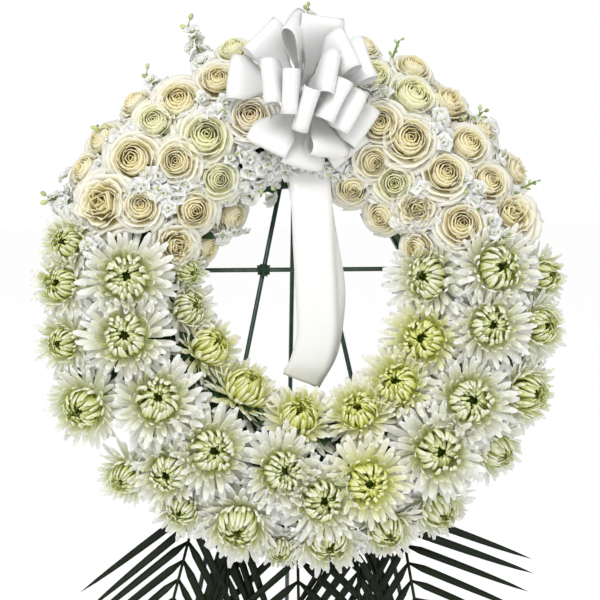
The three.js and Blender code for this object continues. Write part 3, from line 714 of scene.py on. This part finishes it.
def floret(piece, centre, direction, radius, rng):
    """A five-petalled floret with a smaller inner whorl and a green eye."""
    stand = facing(centre, direction, rng.uniform(0, math.tau)) @ Matrix.Scale(radius, 4)
    for count, size, tilt in FLORET_WHORLS:
        for i in range(count):
            piece.put(
                FLORET_PETAL,
                stand
                @ Matrix.Rotation(math.tau * (i + rng.uniform(-0.15, 0.15)) / count, 4, "Z")
                @ Matrix.Rotation(tilt + rng.uniform(-0.25, 0.3), 4, "X")
                @ Matrix.Scale(size * rng.uniform(0.85, 1.1), 4),
            )
    eye = FLORET_EYE * radius
    piece.ball(stand @ Vector((0, 0, 0.08)), (eye,) * 3, Matrix.Identity(3), 0.4, STEM_SLOT, 1)


def bud(piece, centre, direction, length, rng):
    """A closed green bud that points along a direction."""
    turn = direction.to_track_quat("Z", "Y").to_matrix()
    radii = (0.32 * length, 0.36 * length, 0.5 * length)
    piece.ball(centre, radii, turn, rng.uniform(0.6, 1.1), STEM_SLOT)


# The spires: clock angle, reach of the lowest floret and of the tip, how many florets, the lowest
# floret's radius (millimetres), how far the stem stands in front, and the share that are open.
SPIRES = {
    "larkspur_tall_left": (-21, 275, 384, 14, 21, 44, 0.85),
    "stock_upper_left": (-33, 290, 352, 9, 18, 40, 0.8),
    "stock_left": (-49, 295, 335, 8, 19, 60, 0.7),
    "stock_far_left": (-67, 280, 345, 11, 21, 48, 0.85),
    "larkspur_tall_middle": (3, 275, 384, 16, 17, 30, 0.93),
    "stock_upper_right": (22, 285, 365, 14, 11, 40, 0.15),
    "stock_right": (45, 285, 345, 11, 17, 44, 0.6),
    "larkspur_right": (64, 280, 344, 12, 10, 60, 0.1),
}
STEM_ROOT = 220 * MM  # where the spires' and ferns' stems go into the foam
SPIRE_STALK = 2.2 * MM
SPIRE_STEM = 1.5 * MM
BUD_STALK = 0.6 * MM


def spire(name, plan, seed):
    """A flower spire: open florets low on the stem and closed buds towards its tip."""
    clock, root, tip, count, size, front, open_share = plan
    rng = random.Random(seed)
    piece = Piece()
    start = on_wreath(clock, root * MM, front * MM)
    end = on_wreath(clock, tip * MM, front * MM)
    piece.rod(on_wreath(clock, STEM_ROOT, FOAM_MIDDLE), start, SPIRE_STALK, STEM_SLOT)
    piece.rod(start, end, SPIRE_STEM, STEM_SLOT)
    out = (end - start).normalized()
    sideways = out.cross(FRONT)
    for i in range(count):
        share = i / (count - 1)
        angle = i * GOLDEN_TURN + rng.uniform(-0.2, 0.2)
        across = sideways * math.cos(angle) + FRONT * math.sin(angle)
        direction = (across + out * (0.35 + 0.8 * share)).normalized()
        radius = size * MM * (1 - 0.45 * share)
        foot = start.lerp(end, share)
        if share < open_share:
            centre = foot + direction * 0.45 * radius
            floret(piece, centre, direction, radius, rng)
        else:
            centre = foot + direction * radius
            piece.rod(foot, centre, BUD_STALK, STEM_SLOT, 6)
            bud(piece, centre, direction, 0.85 * radius, rng)
    return piece.finish(f"{name}_florets", FLORET_MATERIALS, nodes=[name])


for seed, (name, plan) in enumerate(SPIRES.items()):
    spire(name, plan, 300 + seed)

# Loose stock florets that fill the gaps between the roses: clock angle, reach, how many.
FILLERS = [
    (-51, 245, 3), (-54, 224, 2), (-51, 198, 4), (-48, 192, 2), (-22, 193, 4), (-28, 152, 4),
    (-45, 303, 3), (-48, 308, 3), (-53, 305, 3), (-24, 256, 4), (-29, 270, 4), (-64, 326, 4),
    (-72, 302, 4), (-76, 275, 2), (-42, 122, 4), (-70, 140, 2), (22, 286, 3), (19, 268, 4),
    (38, 296, 3), (39, 271, 4), (43, 268, 3), (46, 328, 4), (52, 320, 3), (55, 320, 4),
    (55, 255, 4), (62, 250, 4), (47, 202, 3), (53, 204, 3), (50, 167, 4), (56, 180, 4),
    (72, 258, 4), (77, 266, 4), (79, 287, 4), (64, 308, 3), (12, 168, 4), (4, 172, 3),
    (-8, 176, 4), (-16, 170, 4), (76, 300, 3), (-36, 306, 3), (-10, 300, 4), (8, 312, 4),
    (-14, 156, 5), (-22, 160, 5), (-4, 158, 4), (16, 158, 4), (24, 160, 3), (-36, 160, 3),
    (12, 292, 3), (-44, 205, 3), (33, 168, 3), (20, 176, 4), (60, 262, 2), (-57, 250, 2),
]  # fmt: skip
FILLER_SPREAD = 11  # millimetres between the florets of a cluster
FILLER_DEPTHS = (2, 12)  # millimetres behind the roses' faces
FILLER_RADII = (12, 16)  # millimetres
FILLER_BUDS = 0.4  # the share of loose florets with a bud beside them


def filler_florets():
    """The loose florets between the roses, each cluster a little below the roses' faces."""
    rng = random.Random(400)
    piece = Piece()
    for clock, reach, count in FILLERS:
        for i in range(count):
            angle = i * GOLDEN_TURN
            spread = FILLER_SPREAD * math.sqrt(i)
            where = reach + spread * math.cos(angle)
            across = clock + math.degrees(spread * math.sin(angle) / reach)
            centre, direction = head_place(across, where * MM)
            centre -= direction * rng.uniform(*FILLER_DEPTHS) * MM
            turned = (direction + stray(rng, 0.5)).normalized()
            floret(piece, centre, turned, rng.uniform(*FILLER_RADII) * MM, rng)
            if rng.random() < FILLER_BUDS:
                side = stray(rng, 1).normalized()
                bud(piece, centre + side * 9 * MM, side, 8 * MM, rng)
    return piece.finish("stock_florets_loose", FLORET_MATERIALS)


filler_florets()


# ---- Foliage ----
def leaflet_mesh(name, width, fold, droop, rows, tones, thickness):
    """A lance-shaped leaflet of unit length along +Y, folded along its midrib."""

    def place(u, v):
        half = 0.5 * width * min(1, 0.25 + 9 * v) * (1 - v**2.6) ** 0.8
        return Vector((u * half, v, fold * half * abs(u) - droop * v * v))

    def tone(u, v):
        return tones[0] + (tones[1] - tones[0]) * abs(u)

    return sheet_mesh(name, 2, rows, place, tone, thickness)


def leaf_stand(foot, along, length, roll=0.0):
    """A matrix that stands a leaf of unit length at its foot, facing the front before it rolls."""
    basis = Matrix((along.cross(FRONT), along, FRONT)).transposed().to_4x4()
    return Matrix.Translation(foot) @ basis @ Matrix.Rotation(roll, 4, "Y") @ Matrix.Scale(length, 4)


PALM_FRONT = 14 * MM
PALM_DROOPS = (0.0, 0.04, 0.09)
PALM_LEAFLETS = [
    leaflet_mesh("leaflet", 0.058, 0.5, droop, 8, (0.75, 0.25), 0.003) for droop in PALM_DROOPS
]
# Each palm frond: the root's clock angle on the ring, the rachis's two ends from the wreath's
# centre (millimetres), and how far its leaflets spread on the right and the left (degrees).
PALMS = {
    "palm_far_left": (-158, (-128, -250), (-212, -560), (40, 38)),
    "palm_left": (-166, (-84, -262), (-118, -610), (24, 14)),
    "palm_middle": (179, (-3, -262), (-1, -640), (47, 50)),
    "palm_right": (164, (72, -262), (84, -600), (22, 36)),
    "palm_far_right": (156, (128, -262), (176, -560), (60, 40)),
}
PALM_PAIRS = 13
PALM_LENGTH = 190 * MM
PALM_TAPER = 0.42  # how much shorter a leaflet at the tip is
PALM_STALK = 2.4 * MM
PALM_RACHIS = 2.0 * MM
FOLIAGE_ROOT = 215 * MM
FOLIAGE_ROOT_FRONT = 34 * MM


def palm_frond(name, plan, seed):
    """A palm frond that hangs below the ring: a ribbed rachis with leaflets in pairs."""
    root, top, end, spread = plan
    rng = random.Random(seed)
    piece = Piece()
    start = on_wreath(root, FOLIAGE_ROOT, FOLIAGE_ROOT_FRONT)
    first = Vector((top[0] * MM, top[1] * MM, PALM_FRONT))
    last = Vector((end[0] * MM, end[1] * MM, PALM_FRONT))
    down = (last - first).normalized()
    piece.rod(start, first, PALM_STALK, sides=10, tone=0.7)
    piece.rod(first, last, PALM_RACHIS, sides=10, tone=0.7)
    for pair in range(PALM_PAIRS):
        share = (pair + 0.4) / PALM_PAIRS
        node = first.lerp(last, share)
        for side, angle in zip((1, -1), spread):
            turned = Matrix.Rotation(side * math.radians(angle + rng.uniform(-3, 3)), 3, "Z") @ down
            length = PALM_LENGTH * (1 - PALM_TAPER * share) * rng.uniform(0.95, 1.02)
            stand = leaf_stand(node, turned, length, rng.uniform(-0.5, 0.5))
            piece.put(rng.choice(PALM_LEAFLETS), stand)
    piece.put(PALM_LEAFLETS[0], leaf_stand(last, down, 0.5 * PALM_LENGTH))
    return piece.finish(f"{name}_leaflets", [PALM], nodes=[name])


for seed, (name, plan) in enumerate(PALMS.items()):
    palm_frond(name, plan, 500 + seed)

# Each fern frond: clock angle, reach of its root and tip, width (millimetres), and how far it
# stands in front of the easel.
FERNS = {
    "fern_left_low": (-110, 262, 342, 62, 26),
    "fern_left": (-56, 262, 334, 66, 24),
    "fern_upper_left": (-48, 262, 345, 50, 30),
    "fern_top_left": (-12, 262, 352, 60, 24),
    "fern_top_right": (16, 262, 342, 60, 24),
    "fern_right": (92, 262, 336, 66, 26),
    "fern_right_low": (105, 262, 334, 50, 22),
}
FERN_PAIRS = 9
FERN_TEETH = 5
FERN_STALK = 1.6 * MM
FERN_RACHIS = 0.9 * MM


def fern_pinna():
    """One toothed pinna of a fern frond, of unit length along +Y."""

    def place(u, v):
        tooth = 0.72 + 0.28 * abs(math.sin(FERN_TEETH * math.pi * v))
        half = 0.17 * (1 - v) ** 0.7 * tooth
        return Vector((u * half, v, 0.1 * half * abs(u) - 0.05 * v * v))

    return sheet_mesh("pinna", 2, 2 * FERN_TEETH, place, lambda u, v: 0.35 + 0.5 * v, 0.02)


FERN_PINNA = fern_pinna()


def fern_frond(name, plan, seed):
    """A leatherleaf frond: toothed pinnae in pairs, shorter towards the tip."""
    clock, root, tip, width, front = plan
    rng = random.Random(seed)
    piece = Piece()
    start = on_wreath(clock, root * MM, front * MM)
    end = on_wreath(clock, tip * MM, front * MM)
    piece.rod(on_wreath(clock, STEM_ROOT, FOAM_MIDDLE), start, FERN_STALK, tone=0.4)
    piece.rod(start, end, FERN_RACHIS, tone=0.4)
    out = (end - start).normalized()
    for pair in range(FERN_PAIRS):
        share = pair / FERN_PAIRS
        node = start.lerp(end, share)
        for side in (1, -1):
            angle = side * math.radians(62 - 22 * share + rng.uniform(-4, 4))
            turned = Matrix.Rotation(angle, 3, "Z") @ out
            length = 0.56 * width * MM * (1 - share) ** 0.8 * min(1, 0.7 + 2 * share)
            piece.put(FERN_PINNA, leaf_stand(node, turned, length, rng.uniform(-0.25, 0.25)))
    return piece.finish(f"{name}_pinnae", [FERN], nodes=[name])


for seed, (name, plan) in enumerate(FERNS.items()):
    fern_frond(name, plan, 600 + seed)


# ---- The bow and its tails ----
KNOT = Vector((7, 262, 82)) * MM
KNOT_RADIUS = 12 * MM
NECK_WIDTH = 13 * MM
RIBBON_WIDTH = 56 * MM
TAIL_WIDTH = 52 * MM
RIBBON_THICK = 0.5 * MM
BOW_RADIUS = 106 * MM
LOOP_SWELL = 0.105
BOW_PICK = 1.5 * MM
# Each loop's bend, right of and above the knot (millimetres), and its line's angle (degrees).
LOOPS = [
    (-58, 68, 57), (-15, 84, 84), (22, 86, 12), (-96, 15, 90), (-52, 1, 96), (-25, -14, 85),
    (-2, -38, 74), (30, 11, 76), (53, 45, 100), (78, 36, 94), (38, -26, 64), (60, -38, 65),
    (78, -55, 50), (-50, -76, -12), (-6, -98, -50), (30, -86, -36), (60, -84, 44),
]  # fmt: skip


def swept(name, columns, rows, middle, across, width, dish=0.0):
    """A ribbon as a mesh: `middle`, `across` and `width` give its place along t from 0 to 1."""

    def place(u, v):
        ahead, behind = middle(min(1, v + STEP)), middle(max(0, v - STEP))
        along = (ahead - behind).normalized()
        side = across(v)
        side = (side - along * side.dot(along)).normalized()
        face = side.cross(along)
        half = 0.5 * width(v)
        return middle(v) + side * u * half + face * dish * half * (u * u - 0.5)

    return sheet_mesh(name, columns, rows, place, lambda u, v: 1.0, RIBBON_THICK)


def ribbon_loop(x, y, turn, rng):
    """A loop of ribbon from the knot to a bend, gathered where it meets the knot."""
    flat = math.hypot(x, y) * MM
    bend = Vector((x * MM, y * MM, math.sqrt(max(BOW_RADIUS**2 - flat**2, 0))))
    out = bend.normalized()
    line = Vector((math.cos(math.radians(turn)), math.sin(math.radians(turn)), 0))
    line = (line - out * line.dot(out)).normalized()
    swell = out.cross(line) * LOOP_SWELL * bend.length
    wave = rng.uniform(0, math.tau)

    def middle(t):
        reach = 0.08 + 0.92 * math.sin(math.pi * t) ** 0.62
        side = math.sin(math.tau * t) * (0.7 + 0.3 * math.sin(math.pi * t))
        ripple = 0.012 * math.sin(9 * t + wave)
        return KNOT + bend * (reach + ripple) + swell * side

    def width(t):
        share = min(1, max(0, 1.45 * math.sin(math.pi * t) - 0.1))
        share = share * share * (3 - 2 * share)
        return NECK_WIDTH + (RIBBON_WIDTH - NECK_WIDTH) * share

    return swept("loop", 6, 30, middle, lambda t: line, width, rng.uniform(-0.08, 0.08))


def mesh_area(bm):
    """The area of one side of a thin closed sheet."""
    return sum(face.calc_area() for face in bm.faces) / 2


def bow():
    """The pull bow: seventeen loops of one satin ribbon, gathered at a knot on a wire pick."""
    rng = random.Random(700)
    piece = Piece()
    for x, y, turn in LOOPS:
        piece.put(ribbon_loop(x, y, turn, rng), Matrix.Identity(4))
    area = mesh_area(piece.bm)
    made = piece.finish("bow_loops", [SATIN], nodes=["bow"])
    knot = Piece()
    knot.ball(KNOT, (KNOT_RADIUS,) * 3, Matrix.Identity(3), 1.0, detail=3)
    knot.rod(KNOT, on_wreath(1.5, FOAM_CIRCLE, FOAM_MIDDLE), BOW_PICK, slot=1, sides=10)
    tied = knot.finish("bow_knot_and_pick", [SATIN, ENAMEL])


def smooth_route(points):
    """A function of t from 0 to 1 along a smooth curve through the points."""
    knots = [2 * points[0] - points[1], *points, 2 * points[-1] - points[-2]]
    spans = len(points) - 1

    def at(t):
        span = min(int(t * spans), spans - 1)
        s = t * spans - span
        a, b, c, d = knots[span : span + 4]
        square = (2 * a - 5 * b + 4 * c - d) * s * s
        cube = (3 * b - a - 3 * c + d) * s**3
        return 0.5 * (2 * b + (c - a) * s + square + cube)

    return at


# The tails' routes from the knot down across the hole, from the wreath's centre (millimetres).
TAILS = {
    "ribbon_tail_front": [
        (9, 245, 70.5), (10, 215, 73), (12, 182, 78), (14, 150, 90), (16, 110, 94),
        (18, 60, 86), (21, 5, 76), (22, -45, 64), (14, -80, 54), (3, -103, 42),
    ],
    "ribbon_tail_back": [
        (10, 240, 68), (10, 215, 69.5), (12, 180, 73), (13, 150, 78), (16, 125, 80), (23, 79, 74),
        (33, 25, 60), (34, -8, 51), (28, -55, 38), (17, -80, 31), (4, -101, 22),
    ],
}  # fmt: skip


def ribbon_tail(name, route):
    """A ribbon tail that hangs from the bow across the hole, its lower end drawn back."""
    middle = smooth_route([Vector(place) * MM for place in route])
    mesh = swept(name, 6, 70, middle, lambda t: Vector((1, 0, 0)), lambda t: TAIL_WIDTH, 0.05)
    piece = Piece()
    piece.put(mesh, Matrix.Identity(4))
    steps = 200
    length = sum((middle((i + 1) / steps) - middle(i / steps)).length for i in range(steps))
    made = piece.finish(f"{name}_satin", [SATIN], nodes=[name])


bow()
for name, route in TAILS.items():
    ribbon_tail(name, route)


# ---- The ring ----
FOAM_BACK = 12.05 * MM
FOAM_ROUNDING = 10 * MM  # at the foam's two front edges
ROUNDING_STEPS = 5
RING_SEGMENTS = 120
FOAM_TONE = 0.4


def ring_mesh(name, profile):
    """A closed ring: `profile` gives its section as (reach, z) points, counter-clockwise."""
    count = len(profile)

    def place(u, v):
        reach, z = profile[round((u + 1) / 2 * count) % count]
        angle = math.tau * v
        return Vector((reach * math.cos(angle), reach * math.sin(angle), z))

    bm = bmesh.new()
    layer = bm.verts.layers.float.new("tone")
    bmesh.ops.create_grid(bm, x_segments=count, y_segments=RING_SEGMENTS, size=0.5)
    for vert in bm.verts:
        vert.co = place(2 * vert.co.x, vert.co.y + 0.5)
        vert[layer] = FOAM_TONE
    bmesh.ops.remove_doubles(bm, verts=bm.verts, dist=WELD)
    bmesh.ops.recalc_face_normals(bm, faces=bm.faces)
    return as_mesh(name, bm)


def foam_profile():
    """The foam's section: square at the back, rounded at the front."""
    corners = [(FOAM_INNER, FOAM_BACK), (FOAM_OUTER, FOAM_BACK)]
    for reach, first in ((FOAM_OUTER - FOAM_ROUNDING, 0), (FOAM_INNER + FOAM_ROUNDING, 90)):
        for step in range(ROUNDING_STEPS + 1):
            angle = math.radians(first + 90 * step / ROUNDING_STEPS)
            round_over = Vector((math.cos(angle), math.sin(angle))) * FOAM_ROUNDING
            corners.append((reach + round_over.x, FOAM_FRONT - FOAM_ROUNDING + round_over.y))
    return corners


def foam_ring():
    """The soaked foam that every stem is pushed into."""
    piece = Piece()
    piece.put(ring_mesh("ring", foam_profile()), Matrix.Identity(4))
    piece.finish("foam_ring_soaked", [FOAM], nodes=["ring_foam"])


foam_ring()

# ---- Leaves over the foam ----
COLLAR_LEAVES = 190
COLLAR_ROWS = (172, 205, 240)  # millimetres from the wreath's centre
COLLAR_LENGTHS = (28, 42)  # millimetres
COLLAR_LEAF = leaflet_mesh("leaf", 0.52, 0.35, 0.22, 8, (0.7, 0.35), 0.012)


def collar_leaves():
    """Leaves all over the foam's front and sides, so that it doesn't show between the flowers."""
    rng = random.Random(800)
    piece = Piece()
    for i in range(COLLAR_LEAVES):
        clock = 360 * (i + rng.uniform(-0.4, 0.4)) / COLLAR_LEAVES * len(COLLAR_ROWS)
        reach = COLLAR_ROWS[i % len(COLLAR_ROWS)] * MM + rng.uniform(-8, 8) * MM
        centre, direction = head_place(clock, reach)
        foot = on_wreath(clock, reach, FOAM_FRONT - rng.uniform(0, 6) * MM)
        lean = stray(rng, 1)
        along = (direction * rng.uniform(0.2, 0.8) + lean).normalized()
        if along.z < 0.15:
            along = (along + Vector((0, 0, 0.45 - along.z))).normalized()
        side = along.cross(direction).normalized()
        basis = Matrix((side, along, side.cross(along))).transposed().to_4x4()
        size = Matrix.Scale(rng.uniform(*COLLAR_LENGTHS) * MM, 4)
        piece.put(COLLAR_LEAF, Matrix.Translation(foot) @ basis @ size)
    piece.finish("collar_leaves", [LEAF])


collar_leaves()

# ---- The easel ----
ROD_RADIUS = 3 * MM
WREATH_HEIGHT = 1030 * MM  # of the wreath's centre, measured up the lean
FRAME_LENGTH = 1220 * MM
LEG_TOP_HALF_GAP = 10.5 * MM
LEG_SLOPE = 0.212
CROSSING = 6.35 * MM  # from the middle of a leg to the middle of a bar laid across it
PIN_HEIGHT = 1195 * MM
PIN_LENGTH = 46 * MM
STOP_BAR_RISE = 12 * MM  # above the pin, on the other face
REAR_ANGLE = math.radians(14)
HEEL_LENGTH = 24 * MM
EYE_WIRE = 2.4 * MM
EYE_RING = 6 * MM
WREATH_BAR_RISE = 43 * MM  # above the wreath's centre
WREATH_BAR_HALF = 205 * MM
BAR_HOOK = 26 * MM
HOOK_BEND = 9 * MM
LOWER_BAR_HEIGHT = 330 * MM
LOWER_BAR_OVERHANG = 14 * MM
BINDING_WIRE = 1.0 * MM
BINDING_TURNS = 8
FOOT_LIFT = 0.7 * MM  # that keeps the rim of a leaning leg's foot off the floor
REAR_FOOT_LIFT = 0.8 * MM
CUT_END = 0.5 * MM  # the rounding at a rod's ends


def tube_mesh(name, route, radius, sides, rows):
    """A round wire along a route, a function of t from 0 to 1, its ends closed."""
    bm = bmesh.new()
    layer = bm.verts.layers.float.new("tone")
    bmesh.ops.create_grid(bm, x_segments=sides, y_segments=rows, size=0.5)
    for vert in bm.verts:
        angle, t = math.tau * vert.co.x, vert.co.y + 0.5
        along = (route(min(1, t + STEP)) - route(max(0, t - STEP))).normalized()
        side = along.cross(Vector((0, 0.6, 0.8)).cross(along)).normalized()
        vert.co = route(t) + (side * math.cos(angle) + side.cross(along) * math.sin(angle)) * radius
        vert[layer] = PLAIN_TONE
    bmesh.ops.remove_doubles(bm, verts=bm.verts, dist=WELD)
    ends = [edge for edge in bm.edges if edge.is_boundary]
    if ends:
        bmesh.ops.holes_fill(bm, edges=ends, sides=0)
    bmesh.ops.recalc_face_normals(bm, faces=bm.faces)
    for face in bm.faces:
        face.smooth = len(face.verts) == 4
    return as_mesh(name, bm)


def easel_rod(name, start, end, body=ROOT):
    """One straight enamelled rod of the easel, its cut ends slightly rounded."""
    along = end - start
    bm = bmesh.new()
    layer = bm.verts.layers.float.new("tone")
    bmesh.ops.create_cone(
        bm, cap_ends=True, segments=24, radius1=ROD_RADIUS, radius2=ROD_RADIUS, depth=along.length
    )
    rims = [edge for edge in bm.edges if any(len(face.verts) > 4 for face in edge.link_faces)]
    bmesh.ops.bevel(
        bm, geom=rims, offset=CUT_END, affect="EDGES", segments=2, profile=0.5, material=-1
    )
    for vert in bm.verts:
        vert[layer] = PLAIN_TONE
    for face in bm.faces:
        face.smooth = len(face.verts) == 4
    piece = Piece()
    turn = along.to_track_quat("Z", "Y").to_matrix().to_4x4()
    piece.put(as_mesh("rod", bm), Matrix.Translation((start + end) / 2) @ turn)
    if name == "easel_rear_leg":
        piece.put(hinge_eye(), Matrix.Identity(4))
    piece.finish(f"{name}_enamelled", [ENAMEL], body, [name])


def leg_half_gap(height):
    """From the middle of the front frame to a leg's axis."""
    return LEG_TOP_HALF_GAP + LEG_SLOPE * (FRAME_LENGTH - height)


PIN = Vector((0, PIN_HEIGHT - WREATH_HEIGHT, -CROSSING))


def hinge_eye():
    """The eye at the top of the rear leg, bent round the hinge pin."""

    def route(t):
        angle = math.tau * t
        return PIN + Vector((0, math.cos(angle), math.sin(angle))) * EYE_RING

    return tube_mesh("eye", route, EYE_WIRE, 12, 32)


def bar_route(t):
    """The wreath bar from the tip of one hook to the other, its two bends rounded."""
    y = WREATH_BAR_RISE
    quarter = 0.5 * math.pi * HOOK_BEND
    straight, level = BAR_HOOK - HOOK_BEND, WREATH_BAR_HALF - HOOK_BEND
    side = -1 if t < 0.5 else 1
    walked = (1 - abs(2 * t - 1)) * (level + quarter + straight)
    if walked < straight:
        return Vector((side * WREATH_BAR_HALF, y + BAR_HOOK - walked, CROSSING))
    if walked < straight + quarter:
        angle = (walked - straight) / HOOK_BEND
        x = level + HOOK_BEND * math.cos(angle)
        return Vector((side * x, y + HOOK_BEND * (1 - math.sin(angle)), CROSSING))
    return Vector((side * (level + quarter + straight - walked), y, CROSSING))


def binding(name, side):
    """Thin wire wound round the crossing of a front leg and the wreath bar."""
    x = side * leg_half_gap(WREATH_HEIGHT + WREATH_BAR_RISE)
    middle = Vector((x, WREATH_BAR_RISE, CROSSING / 2))
    width = 2 * BINDING_TURNS * BINDING_WIRE
    across, deep = ROD_RADIUS + 1.2 * BINDING_WIRE, CROSSING / 2 + ROD_RADIUS + 1.2 * BINDING_WIRE

    def upright(t):
        angle = math.tau * BINDING_TURNS * t
        return middle + Vector((across * math.cos(angle), width * (t - 0.5), deep * math.sin(angle)))

    def level(t):
        angle = math.tau * BINDING_TURNS * t
        bulge = Vector((width * (t - 0.5), 1.35 * across * math.cos(angle), 1.12 * deep * math.sin(angle)))
        return middle + bulge

    piece = Piece()
    for route in (upright, level):
        piece.put(tube_mesh("wire", route, BINDING_WIRE, 8, 20 * BINDING_TURNS), Matrix.Identity(4))
    piece.finish(f"{name}_wire", [TIE], nodes=[name])


def easel():
    """The folding easel: two front legs, the rear leg on its pin, and the bars between."""
    for name, side in (("left", -1), ("right", 1)):
        foot = Vector((side * leg_half_gap(0), -WREATH_HEIGHT + FOOT_LIFT, 0))
        top = Vector((side * LEG_TOP_HALF_GAP, FRAME_LENGTH - WREATH_HEIGHT, 0))
        easel_rod(f"easel_leg_{name}", foot, top)
        binding(f"bar_binding_{name}", side)
    half_pin = Vector((PIN_LENGTH / 2, 0, 0))
    easel_rod("easel_hinge_pin", PIN - half_pin, PIN + half_pin)
    stop = Vector((0, PIN.y + STOP_BAR_RISE, CROSSING))
    easel_rod("easel_stop_bar", stop - half_pin, stop + half_pin)
    half = Vector((leg_half_gap(LOWER_BAR_HEIGHT) + LOWER_BAR_OVERHANG, 0, 0))
    lower = Vector((0, LOWER_BAR_HEIGHT - WREATH_HEIGHT, CROSSING))
    easel_rod("easel_lower_bar", lower - half, lower + half)
    standing = WREATH @ PIN
    back = standing.y + standing.z * math.tan(REAR_ANGLE)
    foot = WREATH.inverted() @ Vector((standing.x, back, REAR_FOOT_LIFT))
    up = (PIN - foot).normalized()
    easel_rod("easel_rear_leg", foot, PIN + up * HEEL_LENGTH, REAR)
    piece = Piece()
    piece.put(tube_mesh("bar", bar_route, ROD_RADIUS, 24, 160), Matrix.Identity(4))
    piece.finish("easel_wreath_bar_enamelled", [ENAMEL], nodes=["easel_wreath_bar"])


easel()

# ---- What keeps the shape that the CAD gave it ----
KEPT = {
    "ring_tray": TRAY,
    "tie_leg_left": TIE,
    "tie_leg_right": TIE,
    "tie_bar_left": TIE,
    "tie_bar_right": TIE,
}
for name, material in KEPT.items():
    kept = bpy.data.objects[name].data
    kept.materials.clear()
    kept.materials.append(material)


# ---- The stage ----
FLOOR_HALF = 12  # metres
FLOOR_GLOW = 0.36
floor_sheet = bmesh.new()
bmesh.ops.create_grid(floor_sheet, x_segments=1, y_segments=1, size=FLOOR_HALF)
floor = bpy.data.objects.new("floor", as_mesh("floor", floor_sheet))
bpy.context.collection.objects.link(floor)
floor.data.materials.append(
    surface(
        "pale_floor",
        lambda material: linear("#F4F4F4"),
        {"Roughness": 0.9, "Emission Color": linear("#FFFFFF"), "Emission Strength": FLOOR_GLOW},
    )
)

# The backdrop is white. The light it gives is strongest from above the front, like a large lamp.
STUDIO_LOW, STUDIO_HIGH = 0.30, 1.02
STUDIO_FROM = (0, -0.83, 0.56)
world = bpy.data.worlds.new("studio")
world.use_nodes = True
world.node_tree.nodes.clear()
toward = add_node(world, "ShaderNodeTexCoord")
front = {0: toward.outputs["Generated"], 1: STUDIO_FROM}
ahead = add_node(world, "ShaderNodeVectorMath", front, operation="DOT_PRODUCT")
rising = {0: ahead.outputs["Value"], 1: -0.4, 2: 1.0, 3: STUDIO_LOW, 4: STUDIO_HIGH}
glow = add_node(world, "ShaderNodeMapRange", rising)
lit = add_node(world, "ShaderNodeBackground", {"Strength": glow.outputs[0], "Color": linear("#FFFFFF")})
seen = add_node(world, "ShaderNodeBackground", {"Strength": 1.0, "Color": linear("#FFFFFF")})
ray = add_node(world, "ShaderNodeLightPath")
either = {0: ray.outputs["Is Camera Ray"], 1: lit.outputs[0], 2: seen.outputs[0]}
chosen = add_node(world, "ShaderNodeMixShader", either)
add_node(world, "ShaderNodeOutputWorld", {"Surface": chosen.outputs[0]})
bpy.context.scene.world = world
bpy.context.scene.view_settings.view_transform = "Standard"


def soft_light(name, size, power, place):
    """A square lamp that looks at the wreath: its side in metres, its power in watts."""
    lamp = bpy.data.lights.new(name, "AREA")
    lamp.size = size
    lamp.energy = power
    made = bpy.data.objects.new(name, lamp)
    bpy.context.collection.objects.link(made)
    made.location = aim + Vector(place)
    made.rotation_euler = Vector(place).to_track_quat("Z", "Y").to_euler()


soft_light("key", size=1.0, power=24, place=(-0.7, -1.7, 1.9))
